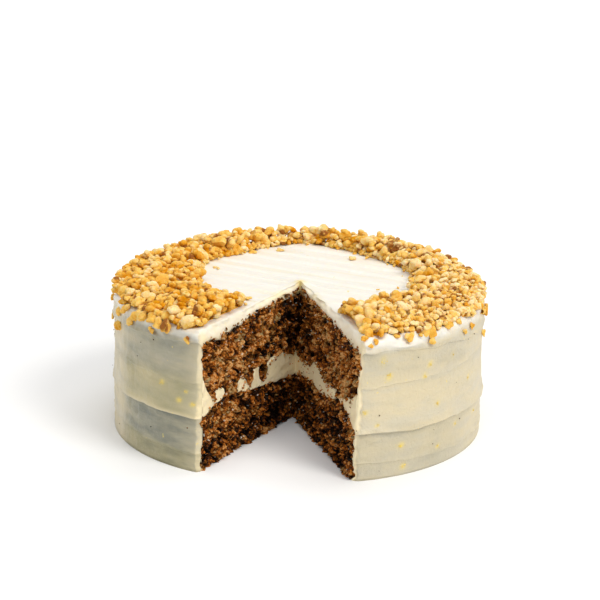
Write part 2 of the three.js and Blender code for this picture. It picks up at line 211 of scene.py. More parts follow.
@dataclass(frozen=True)
class CakeForm:
    """The sizes that every piece of the cake shares."""

    radius: float = 100.0
    height: float = 75.0
    sponge_radius: float = 96.4
    axis_y: float = -4.0
    half_angle: float = 22.5
    tip_low: tuple[float, float] = (-2.7, 4.0)
    tip_high: tuple[float, float] = (-0.2, 8.0)
    rim_rounding: float = 4.5
    lip_edge: float = 0.9
    lip_height: float = 1.35
    lip_fade: float = 8.0
    lip_strength: tuple[float, ...] = (0.26, 1.0, 0.20, 0.55)
    lip_unevenness: Relief = Relief(0.55, 13, 1, 51)
    band_waves: tuple[Relief, ...] = (Relief(0.7, 8, 1, 53), Relief(0.25, 2.3, 1, 55))
    coat_inset: float = 1.2
    coat_waves: tuple[Triple, ...] = ((0.4, 2, 15), (0.25, 5, 0))
    sponge_waves: tuple[Triple, ...] = ((0.35, 3, 20), (0.25, 7, 0))
    face_waves: tuple[Triple, ...] = ((0.5, 2, 40), (0.4, 5, 0))
    lower_top: Face = Face(25.5, 7.0, 14.0, lambda a: -6 - 3.3 * cos(3 * (a + 113)))
    upper_floor: Face = Face(37.4, 2.2, 12.0, lambda a: 2.6 + 1.2 * cos(2 * (a + 70)))
    upper_top: Face = Face(70.3, -3.3, 7.0, lambda a: -2.4 + 0 * a)

    @property
    def rim_start(self) -> float:
        """The height at which the coat's side turns into its rounded rim."""
        return self.height - self.rim_rounding

    def arc(self, angle: Any) -> Any:
        """The distance round the coat for an angle."""
        return angle * self.radius * math.pi / 180

    def tip(self, z: Any) -> tuple[Any, Any]:
        """The x and y of the missing slice's tip at a height, from the cake's axis."""
        share = z / self.height
        return (lerp(self.tip_low[0], self.tip_high[0], share), lerp(self.tip_low[1], self.tip_high[1], share))

    def face(self, face: Face, radius: Any, angle: Any) -> Any:
        """The height of a layer's face at a place."""
        share = radius / self.sponge_radius
        shoulder = smoothstep(radius, self.sponge_radius - face.shoulder, self.sponge_radius)
        waves = wavy(0, angle, self.face_waves)
        return face.centre + face.rise * share**2 + face.bend(angle) * shoulder**2 + waves * share

    def sponge_wall(self, angle: Any) -> Any:
        """The sponges' outer radius."""
        return wavy(self.sponge_radius, angle, self.sponge_waves)

    def band_edges(self, angle: Any) -> list[Any]:
        """The heights of the lower edges of the spatula's bands."""
        even = (
            7.2 + 2.6 * cos(angle + 130) + 0.8 * sin(4 * angle),
            24.6 + 3.2 * cos(angle + 140) + sin(3 * angle + 50),
            50 - 3 * cos(angle + 125) + 0.9 * sin(3 * angle),
            57 + 12 * cos((angle + 93) / 2) ** 4,
        )
        return [edge + layered(self.band_waves, angle, 7.0 * band) for band, edge in enumerate(even)]

    def coat_wall(self, angle: Any, z: Any) -> Any:
        """The coat's outer radius at a height, with the spatula's bands."""
        wall = wavy(self.radius - self.coat_inset, angle, self.coat_waves)
        for band, edge in enumerate(self.band_edges(angle)):
            above = z - edge
            proud = smoothstep(above, -self.lip_edge / 2, self.lip_edge / 2)
            strength = self.lip_strength[band] * (1 + self.lip_unevenness.at(angle + 520, band * 3.7))
            wall = wall + strength * self.lip_height * proud * np.exp(-np.maximum(above, 0) / self.lip_fade)
        return wall

    def reach(self, turn: Any, z: Any, wall: Callable[[Any], Any]) -> Any:
        """How far it is from the slice's tip to a wall.

        Args:
            turn: The direction from the tip.
            z: The height, which says where the tip is.
            wall: The wall's radius about the cake's axis for an angle.

        Returns:
            The distance along that direction.
        """
        tip_x, tip_y = self.tip(z)
        towards = tip_x * cos(turn) + tip_y * sin(turn)
        radius = self.radius + 0 * turn
        for _ in range(4):
            along = -towards + np.sqrt(towards**2 - tip_x**2 - tip_y**2 + radius**2)
            radius = wall(np.degrees(np.arctan2(tip_y + along * sin(turn), tip_x + along * cos(turn))))
        return along

    def at(self, turn: Any, along: Any, z: Any) -> tuple[Array, Array]:
        """The x and y of a point a distance along a direction from the slice's tip."""
        tip_x, tip_y = self.tip(z)
        return tip_x + along * cos(turn), tip_y + along * sin(turn)

    def outward(self, side: Any) -> tuple[Any, Any]:
        """The direction out of a cut face into the missing slice, or nothing for side 0."""
        return -side * cos(self.half_angle), -np.abs(side) * sin(self.half_angle)

    def from_slice(self, x: Any, y: Any, z: float) -> Any:
        """How far a point lies behind the nearer cut face. It is negative inside the missing slice."""
        tip_x, tip_y = self.tip(z)
        return np.abs(x - tip_x) * cos(self.half_angle) - (tip_y - y) * sin(self.half_angle)

    def on_cut(self, side: Side, along: Any, z: Any, out: Any = 0.0) -> Array:
        """A point on a cut face, lifted out of it.

        Args:
            side: Which of the two faces.
            along: The distance from the slice's tip.
            z: The height.
            out: How far the point stands out of the face.

        Returns:
            The points as rows of x, y and z from the cake's axis.
        """
        x, y = self.at(-90 + side.value * self.half_angle, along, z)
        out_x, out_y = self.outward(side.value)
        return np.stack(np.broadcast_arrays(x + out * out_x, y + out * out_y, z), -1)


CAKE = CakeForm()


def polar(x: Any, y: Any) -> tuple[Any, Any]:
    """A point's radius and angle about the cake's axis."""
    return np.hypot(x, y), np.degrees(np.arctan2(y, x))


# ---- Materials ----


class Wire:
    """A shader socket that Python's operators work on: each one adds a Math node."""

    def __init__(self, nodes: Nodes, socket: bpy.types.NodeSocket) -> None:
        """Wraps one output socket of the material's nodes."""
        self.nodes = nodes
        self.socket = socket

    def _math(self, operation: str, first: Any, second: Any) -> Wire:
        """A Math node on two values."""
        return self.nodes.add("ShaderNodeMath", {"operation": operation}, {0: first, 1: second})

    def __add__(self, other: Any) -> Wire:
        """This value plus another."""
        return self._math("ADD", self, other)

    __radd__ = __add__

    def __sub__(self, other: Any) -> Wire:
        """This value less another."""
        return self._math("SUBTRACT", self, other)

    def __rsub__(self, other: Any) -> Wire:
        """Another value less this one."""
        return self._math("SUBTRACT", other, self)

    def __mul__(self, other: Any) -> Wire:
        """This value times another."""
        return self._math("MULTIPLY", self, other)

    __rmul__ = __mul__

    def between(self, low: float, high: float) -> Wire:
        """A soft step from 0 where this value is low to 1 where it is high."""
        settings = {"interpolation_type": "SMOOTHSTEP"}
        return self.nodes.add("ShaderNodeMapRange", settings, {"Value": self, "From Min": low, "From Max": high})


class Nodes:
    """The nodes of one material."""

    def __init__(self, name: str) -> None:
        """Starts a material with a Principled shader on its output."""
        self.material = bpy.data.materials.new(name)
        self.material.use_nodes = True
        self.tree = self.material.node_tree
        self.tree.nodes.clear()
        self.shader = self.tree.nodes.new("ShaderNodeBsdfPrincipled")
        output = self.tree.nodes.new("ShaderNodeOutputMaterial")
        self.tree.links.new(self.shader.outputs["BSDF"], output.inputs["Surface"])

    def fill(self, node: bpy.types.Node, values: dict[Any, Any]) -> None:
        """Sets a node's sockets.

        Args:
            node: The node.
            values: A value or a Wire for each socket, by its identifier, name or number.
        """
        for key, value in values.items():
            by_identifier = [s for s in node.inputs if s.identifier == key]
            socket = by_identifier[0] if by_identifier else node.inputs[key]
            if isinstance(value, Wire):
                self.tree.links.new(value.socket, socket)
            elif isinstance(value, tuple) and len(value) == 3 and socket.type == "RGBA":
                socket.default_value = (*value, 1.0)
            else:
                socket.default_value = value

    def add(
        self,
        kind: str,
        settings: dict[str, Any] | None = None,
        values: dict[Any, Any] | None = None,
        output: str | int = 0,
    ) -> Wire:
        """Adds a node.

        Args:
            kind: The node's type.
            settings: Its own settings. Stops are a ramp's places and colours.
            values: A value or a Wire for each socket.
            output: The output to go on with.

        Returns:
            That output.
        """
        node = self.tree.nodes.new(kind)
        for key, value in (settings or {}).items():
            if key == "stops":
                stops = node.color_ramp.elements
                while len(stops) < len(value):
                    stops.new(1.0)
                for stop, (place, colour) in zip(stops, value):
                    stop.position = place
                    stop.color = (*colour, 1.0)
            else:
                setattr(node, key, value)
        self.fill(node, values or {})
        named = [s for s in node.outputs if s.identifier == output]
        return Wire(self, named[0] if named else node.outputs[output])

    def place(self) -> Wire:
        """The point on the object, in metres."""
        return self.add("ShaderNodeTexCoord", output="Object")

    def stretched(self, turn: float, sizes: tuple[float, float, float]) -> Wire:
        """The point on the object, turned about the upright axis and counted in units of the given sizes."""
        scale = tuple(1 / (size * MM) for size in sizes)
        turned = self.add(
            "ShaderNodeVectorRotate",
            {"rotation_type": "Z_AXIS"},
            {"Vector": self.place(), "Angle": math.radians(turn)},
        )
        return self.add("ShaderNodeVectorMath", {"operation": "MULTIPLY"}, {0: turned, 1: scale})

    def noise(self, size: float, detail: float = 2.0, roughness: float = 0.5, place: Wire | None = None) -> Wire:
        """Soft noise from 0 to 1.

        Args:
            size: The size of its blotches in millimetres, or in the units of place.
            detail: How many finer noises lie on it.
            roughness: How strong they are.
            place: Where it is read, if not at the point on the object.

        Returns:
            The noise.
        """
        scale = 1 / (size * MM) if place is None else 1 / size
        values = {"Vector": place or self.place(), "Scale": scale, "Detail": detail, "Roughness": roughness}
        return self.add("ShaderNodeTexNoise", None, values)

    def grains(self, size: float) -> Wire:
        """A value from 0 to 1 for each of the grains that the object is divided into."""
        values = {"Vector": self.place(), "Scale": 1 / (size * MM)}
        colour = self.add("ShaderNodeTexVoronoi", None, values, "Color")
        return self.add("ShaderNodeSeparateColor", None, {"Color": colour}, "Red")

    def attribute(self, name: str) -> Wire:
        """A value that the mesh carries for each vertex."""
        return self.add("ShaderNodeAttribute", {"attribute_name": name}, None, "Fac")

    def ramp(self, value: Wire, stops: Sequence[tuple[float, Colour]]) -> Wire:
        """A colour for each value, from a few stops."""
        return self.add("ShaderNodeValToRGB", {"stops": stops}, {"Fac": value})

    def mix(self, share: Any, first: Any, second: Any, blend: str = "MIX") -> Wire:
        """Mixes two colours.

        Args:
            share: How much of the second there is.
            first: The first colour.
            second: The second colour.
            blend: The way of mixing.

        Returns:
            The mixed colour.
        """
        settings = {"data_type": "RGBA", "blend_type": blend}
        values = {"Factor_Float": share, "A_Color": first, "B_Color": second}
        return self.add("ShaderNodeMix", settings, values, "Result_Color")

    def bump(self, height: Wire, depth: float) -> Wire:
        """The surface's normal with a relief of a depth in millimetres."""
        return self.add("ShaderNodeBump", None, {"Height": height, "Distance": depth * MM}, "Normal")


@dataclass(frozen=True)
class Mottle:
    """Patches that lie where a noise is high: the noise, the values at the patches' edges, and their strength."""

    size: float
    detail: float
    roughness: float
    low: float
    high: float
    strength: float = 1.0

    def over(self, n: Nodes, place: Wire | None = None) -> Wire:
        """The patches on a material, from 0 to their strength."""
        patches = n.noise(self.size, self.detail, self.roughness, place).between(self.low, self.high)
        return patches if self.strength == 1 else patches * self.strength


@dataclass(frozen=True)
class SpongeFinish:
    """Moist brown crumb, orange where grated carrot and bran show. Its near-black end is painted shade in the pores
    and in the gaps between grains, and rare pale specks are painted glints.
    """

    pore_shade: Colour = (0.008, 0.002, 0.0004)
    dark: Colour = (0.050, 0.014, 0.0025)
    brown: Colour = (0.250, 0.066, 0.0075)
    bright: Colour = (0.660, 0.195, 0.020)
    crumb: Colour = (0.880, 0.480, 0.170)
    earthy: Colour = (0.44, 0.64, 0.86)
    glint: Colour = (0.95, 0.88, 0.74)
    stops: tuple[float, ...] = (0.06, 0.26, 0.47, 0.70, 0.92)
    grain: float = 1.25
    tone_share: float = 1.1
    grain_share: float = 0.42
    fine_share: float = 0.7
    gap_shade: float = 0.5
    darkening: float = 0.525
    patches: Mottle = Mottle(4.5, 3.0, 0.65, 0.49, 0.59, 0.8)
    moist: Mottle = Mottle(1.1, 2.0, 0.5, 0.52, 0.64)
    glint_size: float = 0.9
    relief: float = 0.8
    specular: float = 0.05

    def material(self) -> bpy.types.Material:
        """Makes the material."""
        n = Nodes("moist_sponge")
        fine = n.noise(0.45, 3.0, 0.7)
        grain = n.grains(self.grain)
        values = {"Vector": n.place(), "Scale": 1 / (self.grain * MM)}
        gap = n.add("ShaderNodeTexVoronoi", None, values, "Distance")
        value = n.attribute("tone") * self.tone_share + grain * self.grain_share + fine * self.fine_share
        # Painted shade: darker in the gaps between grains, down to the near-black of the pores.
        value = value - gap * self.gap_shade - self.darkening
        baked = n.ramp(value, list(zip(self.stops, (self.pore_shade, self.dark, self.brown, self.bright, self.crumb))))
        crumbs = n.mix(self.patches.over(n), baked, self.earthy, "MULTIPLY")
        # Rare pale grains are painted glints of moist crumb.
        colour = n.mix(n.grains(self.glint_size).between(0.988, 0.992) * 0.8, crumbs, self.glint)
        moist = self.moist.over(n)
        n.fill(
            n.shader,
            {
                "Base Color": colour,
                "Roughness": 0.8 - moist * 0.45,
                "Normal": n.bump(fine * 1.2 + grain * 0.5 - gap, self.relief),
                "Specular IOR Level": self.specular,
                "Coat Weight": moist * 0.32,
                "Coat Roughness": 0.22,
            },
        )
        return n.material


@dataclass(frozen=True)
class CreamFinish:
    """Cream with a soft sheen, with warm and cool clouds on the side, and grey-green where it is spread thinly. Its
    near-white top against the darker side is painted light and shade, and the grey-green also paints the shade under
    the bands' lips.
    """

    white: Colour = (0.86, 0.83, 0.75)
    warm: Colour = (0.66, 0.57, 0.38)
    cool: Colour = (0.612, 0.548, 0.402)
    fresh: Colour = (0.99, 0.84, 0.55)
    thin: Colour = (0.165, 0.185, 0.165)
    butter: Colour = (0.84, 0.65, 0.13)
    top: float = 69.0
    heading: float = 22.0
    smears: Mottle = Mottle(1.0, 3.0, 0.5, 0.52, 0.72)
    blotches: Mottle = Mottle(0.6, 4.0, 0.6, 0.25, 0.75, 0.5)
    flecks: Mottle = Mottle(2.6, 1.0, 0.4, 0.76, 0.80)
    relief: float = 0.34
    soft_share: float = 0.2
    soft_radius: Triple = (1.0, 0.85, 0.55)
    soft_depth: float = 1.4
    specular: float = 0.55

    def material(self) -> bpy.types.Material:
        """Makes the material."""
        n = Nodes("cream")
        height = n.add("ShaderNodeSeparateXYZ", None, {"Vector": n.place()}, "Z")
        level = n.stretched(self.heading, (34, 34, 9))
        clouds = n.noise(1.0, 3.0, 0.55, level)
        # The top's near-white against the darker side colours is painted light on the top and painted shade on the
        # side.
        on_top = (height + clouds * 8 * MM).between((self.top + 1) * MM, (self.top + 7) * MM)
        side = n.mix(clouds.between(0.40, 0.62), self.warm, self.cool)
        outside = n.mix(on_top, side, self.white)
        base = n.mix(n.attribute("cut"), outside, self.fresh)
        smears = self.smears.over(n, n.stretched(self.heading, (60, 6, 9)))
        streaked = n.mix(smears * (on_top * 0.11 + 0.03), base, self.butter)
        blotches = self.blotches.over(n, level) + 0.75
        # The grey-green shows thinly spread cream and also painted shade under the bands' lips.
        thinned = n.mix(n.attribute("thin") * blotches, streaked, self.thin)
        flecks = self.flecks.over(n)
        spots = n.attribute("butter") + flecks * 0.5
        spotted = n.mix(spots, thinned, self.butter)
        ridges = n.noise(1.0, 3.0, 0.6, n.stretched(self.heading, (30, 1.6, 1.6))) * (1 - on_top * 0.6)
        pits = n.noise(2.2, 4.0, 0.6) * (1.5 - on_top * 0.9)
        n.fill(
            n.shader,
            {
                "Base Color": spotted,
                "Roughness": n.noise(6, 2.0) * 0.25 + 0.34,
                "Normal": n.bump(ridges + pits, self.relief),
                "Subsurface Weight": self.soft_share,
                "Subsurface Radius": self.soft_radius,
                "Subsurface Scale": self.soft_depth * MM,
                "Specular IOR Level": self.specular,
            },
        )
        return n.material


@dataclass(frozen=True)
class WalnutFinish:
    """Chopped walnut: waxy and golden, with scraps of brown skin. Each piece's tone sets how pale it is, and carries
    painted light on its top and lumps and painted shade below and in its creases.
    """

    pale: Colour = (0.915, 0.725, 0.39)
    gold: Colour = (0.84, 0.515, 0.11)
    tan: Colour = (0.67, 0.27, 0.003)
    skin: Colour = (0.30, 0.105, 0.020)
    stops: tuple[float, ...] = (0.05, 0.42, 0.85)
    tone_share: float = 0.75
    mottle_share: float = 0.55
    darkening: float = 0.24
    rust: Mottle = Mottle(3.1, 3.0, 0.6, 0.56, 0.70, 0.6)
    scraps: Mottle = Mottle(1.6, 2.0, 0.5, 0.25, 0.5)
    relief: float = 0.45
    soft_share: float = 0.3
    soft_radius: Triple = (1.0, 0.55, 0.2)
    soft_depth: float = 1.2
    specular: float = 0.05

    def material(self) -> bpy.types.Material:
        """Makes the material."""
        n = Nodes("chopped_walnut")
        mottle = n.noise(2.0, 3.0, 0.6)
        value = n.attribute("tone") * self.tone_share + mottle * self.mottle_share - self.darkening
        flesh = n.ramp(value, list(zip(self.stops, (self.tan, self.gold, self.pale))))
        stained = n.mix(self.rust.over(n), flesh, self.tan)
        skinned = n.mix(n.attribute("skin") * self.scraps.over(n), stained, self.skin)
        n.fill(
            n.shader,
            {
                "Base Color": skinned,
                "Roughness": n.noise(1.5, 2.0) * 0.3 + 0.33,
                "Normal": n.bump(n.noise(1.5, 2.0, 0.5), self.relief),
                "Subsurface Weight": self.soft_share,
                "Subsurface Radius": self.soft_radius,
                "Subsurface Scale": self.soft_depth * MM,
                "Specular IOR Level": self.specular,
            },
        )
        return n.material


@dataclass(frozen=True)
class ZestFinish:
    """Bright yellow zest, darker where it has dried."""

    fresh: Colour = (0.88, 0.69, 0.12)
    dried: Colour = (0.70, 0.47, 0.08)
    drying: Mottle = Mottle(1.2, 2.0, 0.5, 0.35, 0.7)
    roughness: float = 0.45
    relief: float = 0.15

    def material(self) -> bpy.types.Material:
        """Makes the material."""
        n = Nodes("zest")
        colour = n.mix(self.drying.over(n), self.fresh, self.dried)
        bump = n.bump(n.noise(0.6, 2.0), self.relief)
        n.fill(n.shader, {"Base Color": colour, "Roughness": self.roughness, "Normal": bump})
        return n.material


# ---- Meshes ----

CLOSE = 1e-5


def to_mesh(name: str, shape: bmesh.types.BMesh) -> bpy.types.Mesh:
    """Turns a shape into a named mesh and frees it."""
    mesh = bpy.data.meshes.new(name)
    shape.to_mesh(mesh)
    shape.free()
    return mesh


@dataclass(frozen=True)
class Wedge:
    """The plain form of a piece that runs round the cake from one cut face to the other.

    Its section is a grid of columns from the middle to the rim and rows from the underside to the top. Before it
    is shaped, it is one unit wide and one unit high, and the slice's tip is its axis.
    """

    columns: int
    rows: int
    steps: int
    sectors: int = 1
    open_middle: bool = False
    sweep: float = 360 - 2 * CAKE.half_angle
    start: float = -90 + CAKE.half_angle

    def build(self) -> bmesh.types.BMesh:
        """Makes the closed plain form: both ends, and the section's edge turned round the axis between them."""
        plain = bmesh.new()
        bmesh.ops.create_grid(plain, x_segments=self.columns, y_segments=self.rows, size=0.5)
        upright = Matrix.Translation((0.5 + self.open_middle, 0, 0.5)) @ Matrix.Rotation(math.pi / 2, 4, "X")
        first_end = Matrix.Rotation(math.radians(self.start), 4, "Z")
        bmesh.ops.transform(plain, matrix=first_end @ upright, verts=plain.verts)
        section = plain.verts[:] + plain.edges[:] + plain.faces[:]
        edge = [e for e in plain.edges if e.is_boundary]
        far_end = bmesh.ops.duplicate(plain, geom=section)["geom"]
        ends = set(section + far_end)
        loop = bmesh.ops.duplicate(plain, geom=edge)["geom"]
        bmesh.ops.rotate(
            plain,
            cent=(0, 0, 0),
            matrix=Matrix.Rotation(math.radians(self.sweep), 3, "Z"),
            verts=[v for v in far_end if isinstance(v, bmesh.types.BMVert)],
        )
        turn = {"cent": (0, 0, 0), "axis": (0, 0, 1), "dvec": (0, 0, 0), "use_merge": False, "use_normal_flip": False}
        angle = math.radians(self.sweep) / self.sectors
        bmesh.ops.spin(plain, geom=loop, angle=angle, steps=self.steps // self.sectors, use_duplicate=False, **turn)
        if self.sectors > 1:
            sector = [e for e in (*plain.verts, *plain.edges, *plain.faces) if e not in ends]
            steps = self.sectors - 1
            bmesh.ops.spin(plain, geom=sector, angle=angle * steps, steps=steps, use_duplicate=True, **turn)
        bmesh.ops.remove_doubles(plain, verts=plain.verts, dist=CLOSE)
        bmesh.ops.recalc_face_normals(plain, faces=plain.faces)
        return plain


@dataclass
class Spread:
    """Where each vertex of a wedge lies: share from the middle to the rim, turn, and level from 0 to 1."""

    share: Array
    turn: Array
    level: Array
    side: Array

    @classmethod
    def of(cls, mesh: bpy.types.Mesh, wedge: Wedge) -> Spread:
        """Reads a plain wedge.

        Args:
            mesh: The plain wedge's mesh.
            wedge: What it was made from.

        Returns:
            Each vertex's place in it, with side 1 on the right cut face, -1 on the left and 0 elsewhere.
        """
        flat = np.empty(3 * len(mesh.vertices))
        mesh.vertices.foreach_get("co", flat)
        x, y, level = flat.reshape(-1, 3).T
        radius = np.hypot(x, y)
        turn = np.degrees(np.arctan2(y, x))
        turn = np.where(turn < wedge.start - 1, turn + 360, turn)
        turn = np.where(radius < CLOSE, 90.0, turn)
        right = np.abs(turn - wedge.start) < 0.01
        left = np.abs(turn - wedge.start - wedge.sweep) < 0.01
        return cls(radius - wedge.open_middle, turn, level, right.astype(float) - left.astype(float))


def finished(
    name: str,
    mesh: bpy.types.Mesh,
    points: Array,
    material: bpy.types.Material,
    slot: str,
    replaces: Sequence[str] = (),
    carried: dict[str, Array] | None = None,
    smooth_angle: float | None = None,
) -> bpy.types.Object:
    """Makes a finished piece of a mesh.

    Args:
        name: The piece's name.
        mesh: Its mesh, with the vertices in any place.
        points: Their places from the cake's axis, in millimetres.
        material: Its finish.
        slot: A material slot's name, which is not used.
        replaces: The CAD nodes that it stands for.
        carried: Values for each vertex that the finish reads.
        smooth_angle: Edges sharper than this stay sharp. Without it all are smooth.

    Returns:
        The piece, which rides on the cake's only body.
    """
    low, high = (np.array(corner) for corner in CAD_BOX)
    placed = np.clip((points + [0, CAKE.axis_y, 0]) * MM, low, high)
    mesh.vertices.foreach_set("co", placed.astype(np.float32).ravel())
    for key, values in (carried or {}).items():
        mesh.attributes.new(key, "FLOAT", "POINT").data.foreach_set("value", values.astype(np.float32))
    mesh.name = name
    mesh.materials.append(material)
    mesh.shade_smooth()
    if smooth_angle is not None:
        mesh.set_sharp_from_angle(angle=math.radians(smooth_angle))
    mesh.update()
    piece = bpy.data.objects.new(name, mesh)
    bpy.context.scene.collection.objects.link(piece)
    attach(piece, ROOT)
    if replaces:
        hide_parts(*replaces)
    mesh.calc_loop_triangles()
    log.info("%s: %d triangles", name, len(mesh.loop_triangles))
    return piece


# ---- Sponges and filling ----


@dataclass(frozen=True)
class TornEdge:
    """How a layer's face runs along a cut face, where the knife has torn and dragged it.

    The line is pairs of a distance from the slice's tip and a height.
    """

    face: Face
    side: Side
    line: tuple[tuple[float, float], ...]

    def height(self, along: Array) -> Array:
        """The edge's height at distances from the slice's tip."""
        distances, heights = zip(*self.line)
        return np.interp(along, distances, heights)


@dataclass(frozen=True)
class Patch:
    """A patch of a cut face that is brighter or darker, and stands out or lies back."""

    side: Side
    along: float
    z: float
    width: float
    height: float
    tone: float
    lift: float


@dataclass(frozen=True)
class CutFaces:
    """The torn crumb on both cut faces, and the ragged edges where sponge and cream meet."""

    clump: float = 3.6
    grain: float = 1.5
    clump_depth: float = 1.6
    grain_depth: float = 1.0
    hollow_depth: float = 2.2
    carrot: float = 2.7
    carrot_lift: float = 0.5
    dome_radius: float = 0.62
    dome_reach: float = 1.35
    calm: float = 4.0
    sunk: float = 1.1
    warp: tuple[Relief, ...] = (Relief(0.25, 1.7, 1.7, 7), Relief(1.4, 5, 5, 27))
    fine: Relief = Relief(0.25, 0.9, 0.9, 18)
    broad: Relief = Relief(-0.45, 13, 13, 9)
    ragged: Relief = Relief(0.7, 2.4, 1, 33, 3)
    torn: Relief = Relief(2.4, 3.3, 1, 35, 3)
    middle_tone: float = 0.45
    grain_tone: float = 0.20
    clump_tone: float = 0.19
    broad_tone: Relief = Relief(0.16, 8, 8, 21)
    clump_painted_light: float = 0.14
    grain_painted_light: float = 0.15
    hollow_shade: float = 0.3
    carrot_tone: float = 0.30
    edges: tuple[TornEdge, ...] = (
        TornEdge(
            CAKE.upper_top,
            Side.LEFT,
            (
                (0, 74), (5, 73.1), (9.4, 72.8), (12.7, 71.9), (17.4, 73.3), (22, 72.7), (31, 73), (32.7, 70.8),
                (37, 71.6), (45, 71.9), (55.6, 71.3), (58.6, 69.7), (62, 69.9), (67, 68.3), (71, 69.1), (77, 66.7),
                (80, 68), (84.5, 68.1), (86.4, 66.5), (93.7, 69.1), (104, 68.1),
            ),
        ),
        TornEdge(
            CAKE.upper_floor,
            Side.LEFT,
            (
                (0, 36), (3.8, 36.1), (9.7, 38), (15.8, 40.7), (20.4, 41.7), (23.6, 40), (28.1, 40.1), (31.8, 38.4),
                (33.4, 38.3), (34, 32.9), (36, 31.3), (38, 30.5), (41, 31.6), (42.5, 39), (44.6, 40.2), (47.8, 39.4),
                (49.8, 37.8), (50.3, 33.1), (51.1, 30.6), (53.4, 32), (55.3, 34.5), (57.2, 37.1), (59.6, 39.7),
                (61.2, 39.3), (62.5, 37.3), (64.6, 36.5), (65.2, 32.6), (71.6, 33.4), (78.5, 34.5), (79.9, 37.8),
                (81.6, 39.1), (85.8, 40.3), (87.5, 39.8), (88.2, 35), (89.3, 34.9), (91.6, 36.9), (93.8, 38.6),
                (97.1, 41.6), (99.4, 45.1), (101.2, 48.3), (106, 50),
            ),
        ),
        TornEdge(
            CAKE.lower_top,
            Side.LEFT,
            (
                (0, 24.8), (3.6, 25.2), (8.3, 25.9), (11.6, 25.1), (17.5, 26.5), (22, 26), (31.1, 28), (40.1, 29.1),
                (48.8, 29.4), (56.5, 30.7), (65.2, 32.6), (71.6, 33.4), (78, 34.4), (80, 34.4), (83, 33.4), (87, 33),
                (89, 31.9), (93, 30.7), (95, 29.7), (99, 28.7), (103, 30.2),
            ),
        ),
        TornEdge(
            CAKE.upper_top,
            Side.RIGHT,
            (
                (0, 74), (5, 73.3), (10.4, 73.4), (15.9, 72.4), (26.6, 72.1), (30.3, 71), (35.4, 71.6), (44.2, 70.6),
                (54.3, 70.8), (57.8, 70), (60.6, 68.6), (64.5, 69.5), (72.9, 68.5), (82.7, 68.3), (92.5, 67),
                (98.6, 67.8), (103.7, 65.8),
            ),
        ),
        TornEdge(
            CAKE.upper_floor,
            Side.RIGHT,
            (
                (0, 35.5), (3.3, 35.6), (10.8, 34.8), (14.3, 35.3), (17.7, 36.6), (21.4, 35.8), (24.9, 36.3),
                (27, 39.2), (31.2, 40.2), (36.1, 41.7), (38.1, 40.4), (41.8, 39.4), (43.8, 37.8), (50.9, 36.8),
                (52.9, 35.3), (56.4, 35), (59.3, 37.3), (62.9, 36.3), (66.1, 36.8), (69, 36), (71, 35), (76, 35.5),
                (78, 35.8), (82.5, 37), (91.7, 39.4), (96.1, 41.1), (99, 44), (104, 46),
            ),
        ),
        TornEdge(
            CAKE.lower_top,
            Side.RIGHT,
            (
                (0, 24.2), (5.3, 25.5), (10.4, 27.4), (15.8, 28), (22.9, 28.3), (28.1, 29.1), (38.6, 29.1),
                (44, 28.4), (49.1, 28.9), (54, 29.7), (59.1, 30), (65.4, 32), (71.5, 34.5), (74.8, 34.8),
                (78.3, 33.8), (84.9, 33.3), (88.3, 32.3), (90.3, 30.3), (93.8, 28.8), (97.1, 28.4), (99, 26.9),
                (104, 27),
            ),
        ),
    )
    patches: tuple[Patch, ...] = (
        Patch(Side.LEFT, 31.6, 64.5, 4.6, 4.0, 0.34, 0.7),
        Patch(Side.LEFT, 94.7, 48.1, 4.0, 3.2, 0.24, 0.5),
        Patch(Side.LEFT, 67.3, 23.0, 5.0, 3.4, 0.24, 0.3),
        Patch(Side.LEFT, 62.1, 61.0, 4.0, 3.0, 0.18, 0.2),
        Patch(Side.LEFT, 84.0, 44.0, 12.0, 7.0, 0.10, 0.0),
        Patch(Side.LEFT, 84.0, 23.0, 12.0, 6.0, 0.10, 0.0),
        # These two dark patches near the slice's tip are painted shade, where the tip lies deep in the cut.
        Patch(Side.LEFT, 9.0, 57.0, 13.0, 13.0, -0.40, -0.5),
        Patch(Side.LEFT, 16.0, 14.0, 16.0, 16.0, -0.16, 0.0),
        Patch(Side.LEFT, 60.0, 69.0, 22.0, 2.2, -0.10, 0.0),
        Patch(Side.LEFT, 76.0, 60.5, 4.0, 4.0, -0.12, -0.6),
        Patch(Side.LEFT, 50.0, 12.0, 44.0, 13.0, -0.09, 0.0),
        Patch(Side.RIGHT, 96.0, 64.0, 3.0, 3.0, 0.22, 0.5),
        Patch(Side.RIGHT, 55.6, 61.7, 3.0, 2.6, 0.26, 0.4),
        Patch(Side.RIGHT, 30.1, 66.2, 3.4, 2.6, 0.12, 0.4),
        # Painted shade near the slice's tip.
        Patch(Side.RIGHT, 8.0, 57.0, 15.0, 14.0, -0.36, -0.3),
        Patch(Side.RIGHT, 55.0, 67.0, 26.0, 4.0, -0.12, 0.0),
        # Painted shade near the slice's tip, low down.
        Patch(Side.RIGHT, 14.0, 14.0, 18.0, 16.0, -0.18, 0.0),
        Patch(Side.RIGHT, 62.0, 13.0, 50.0, 14.0, -0.19, 0.0),
    )

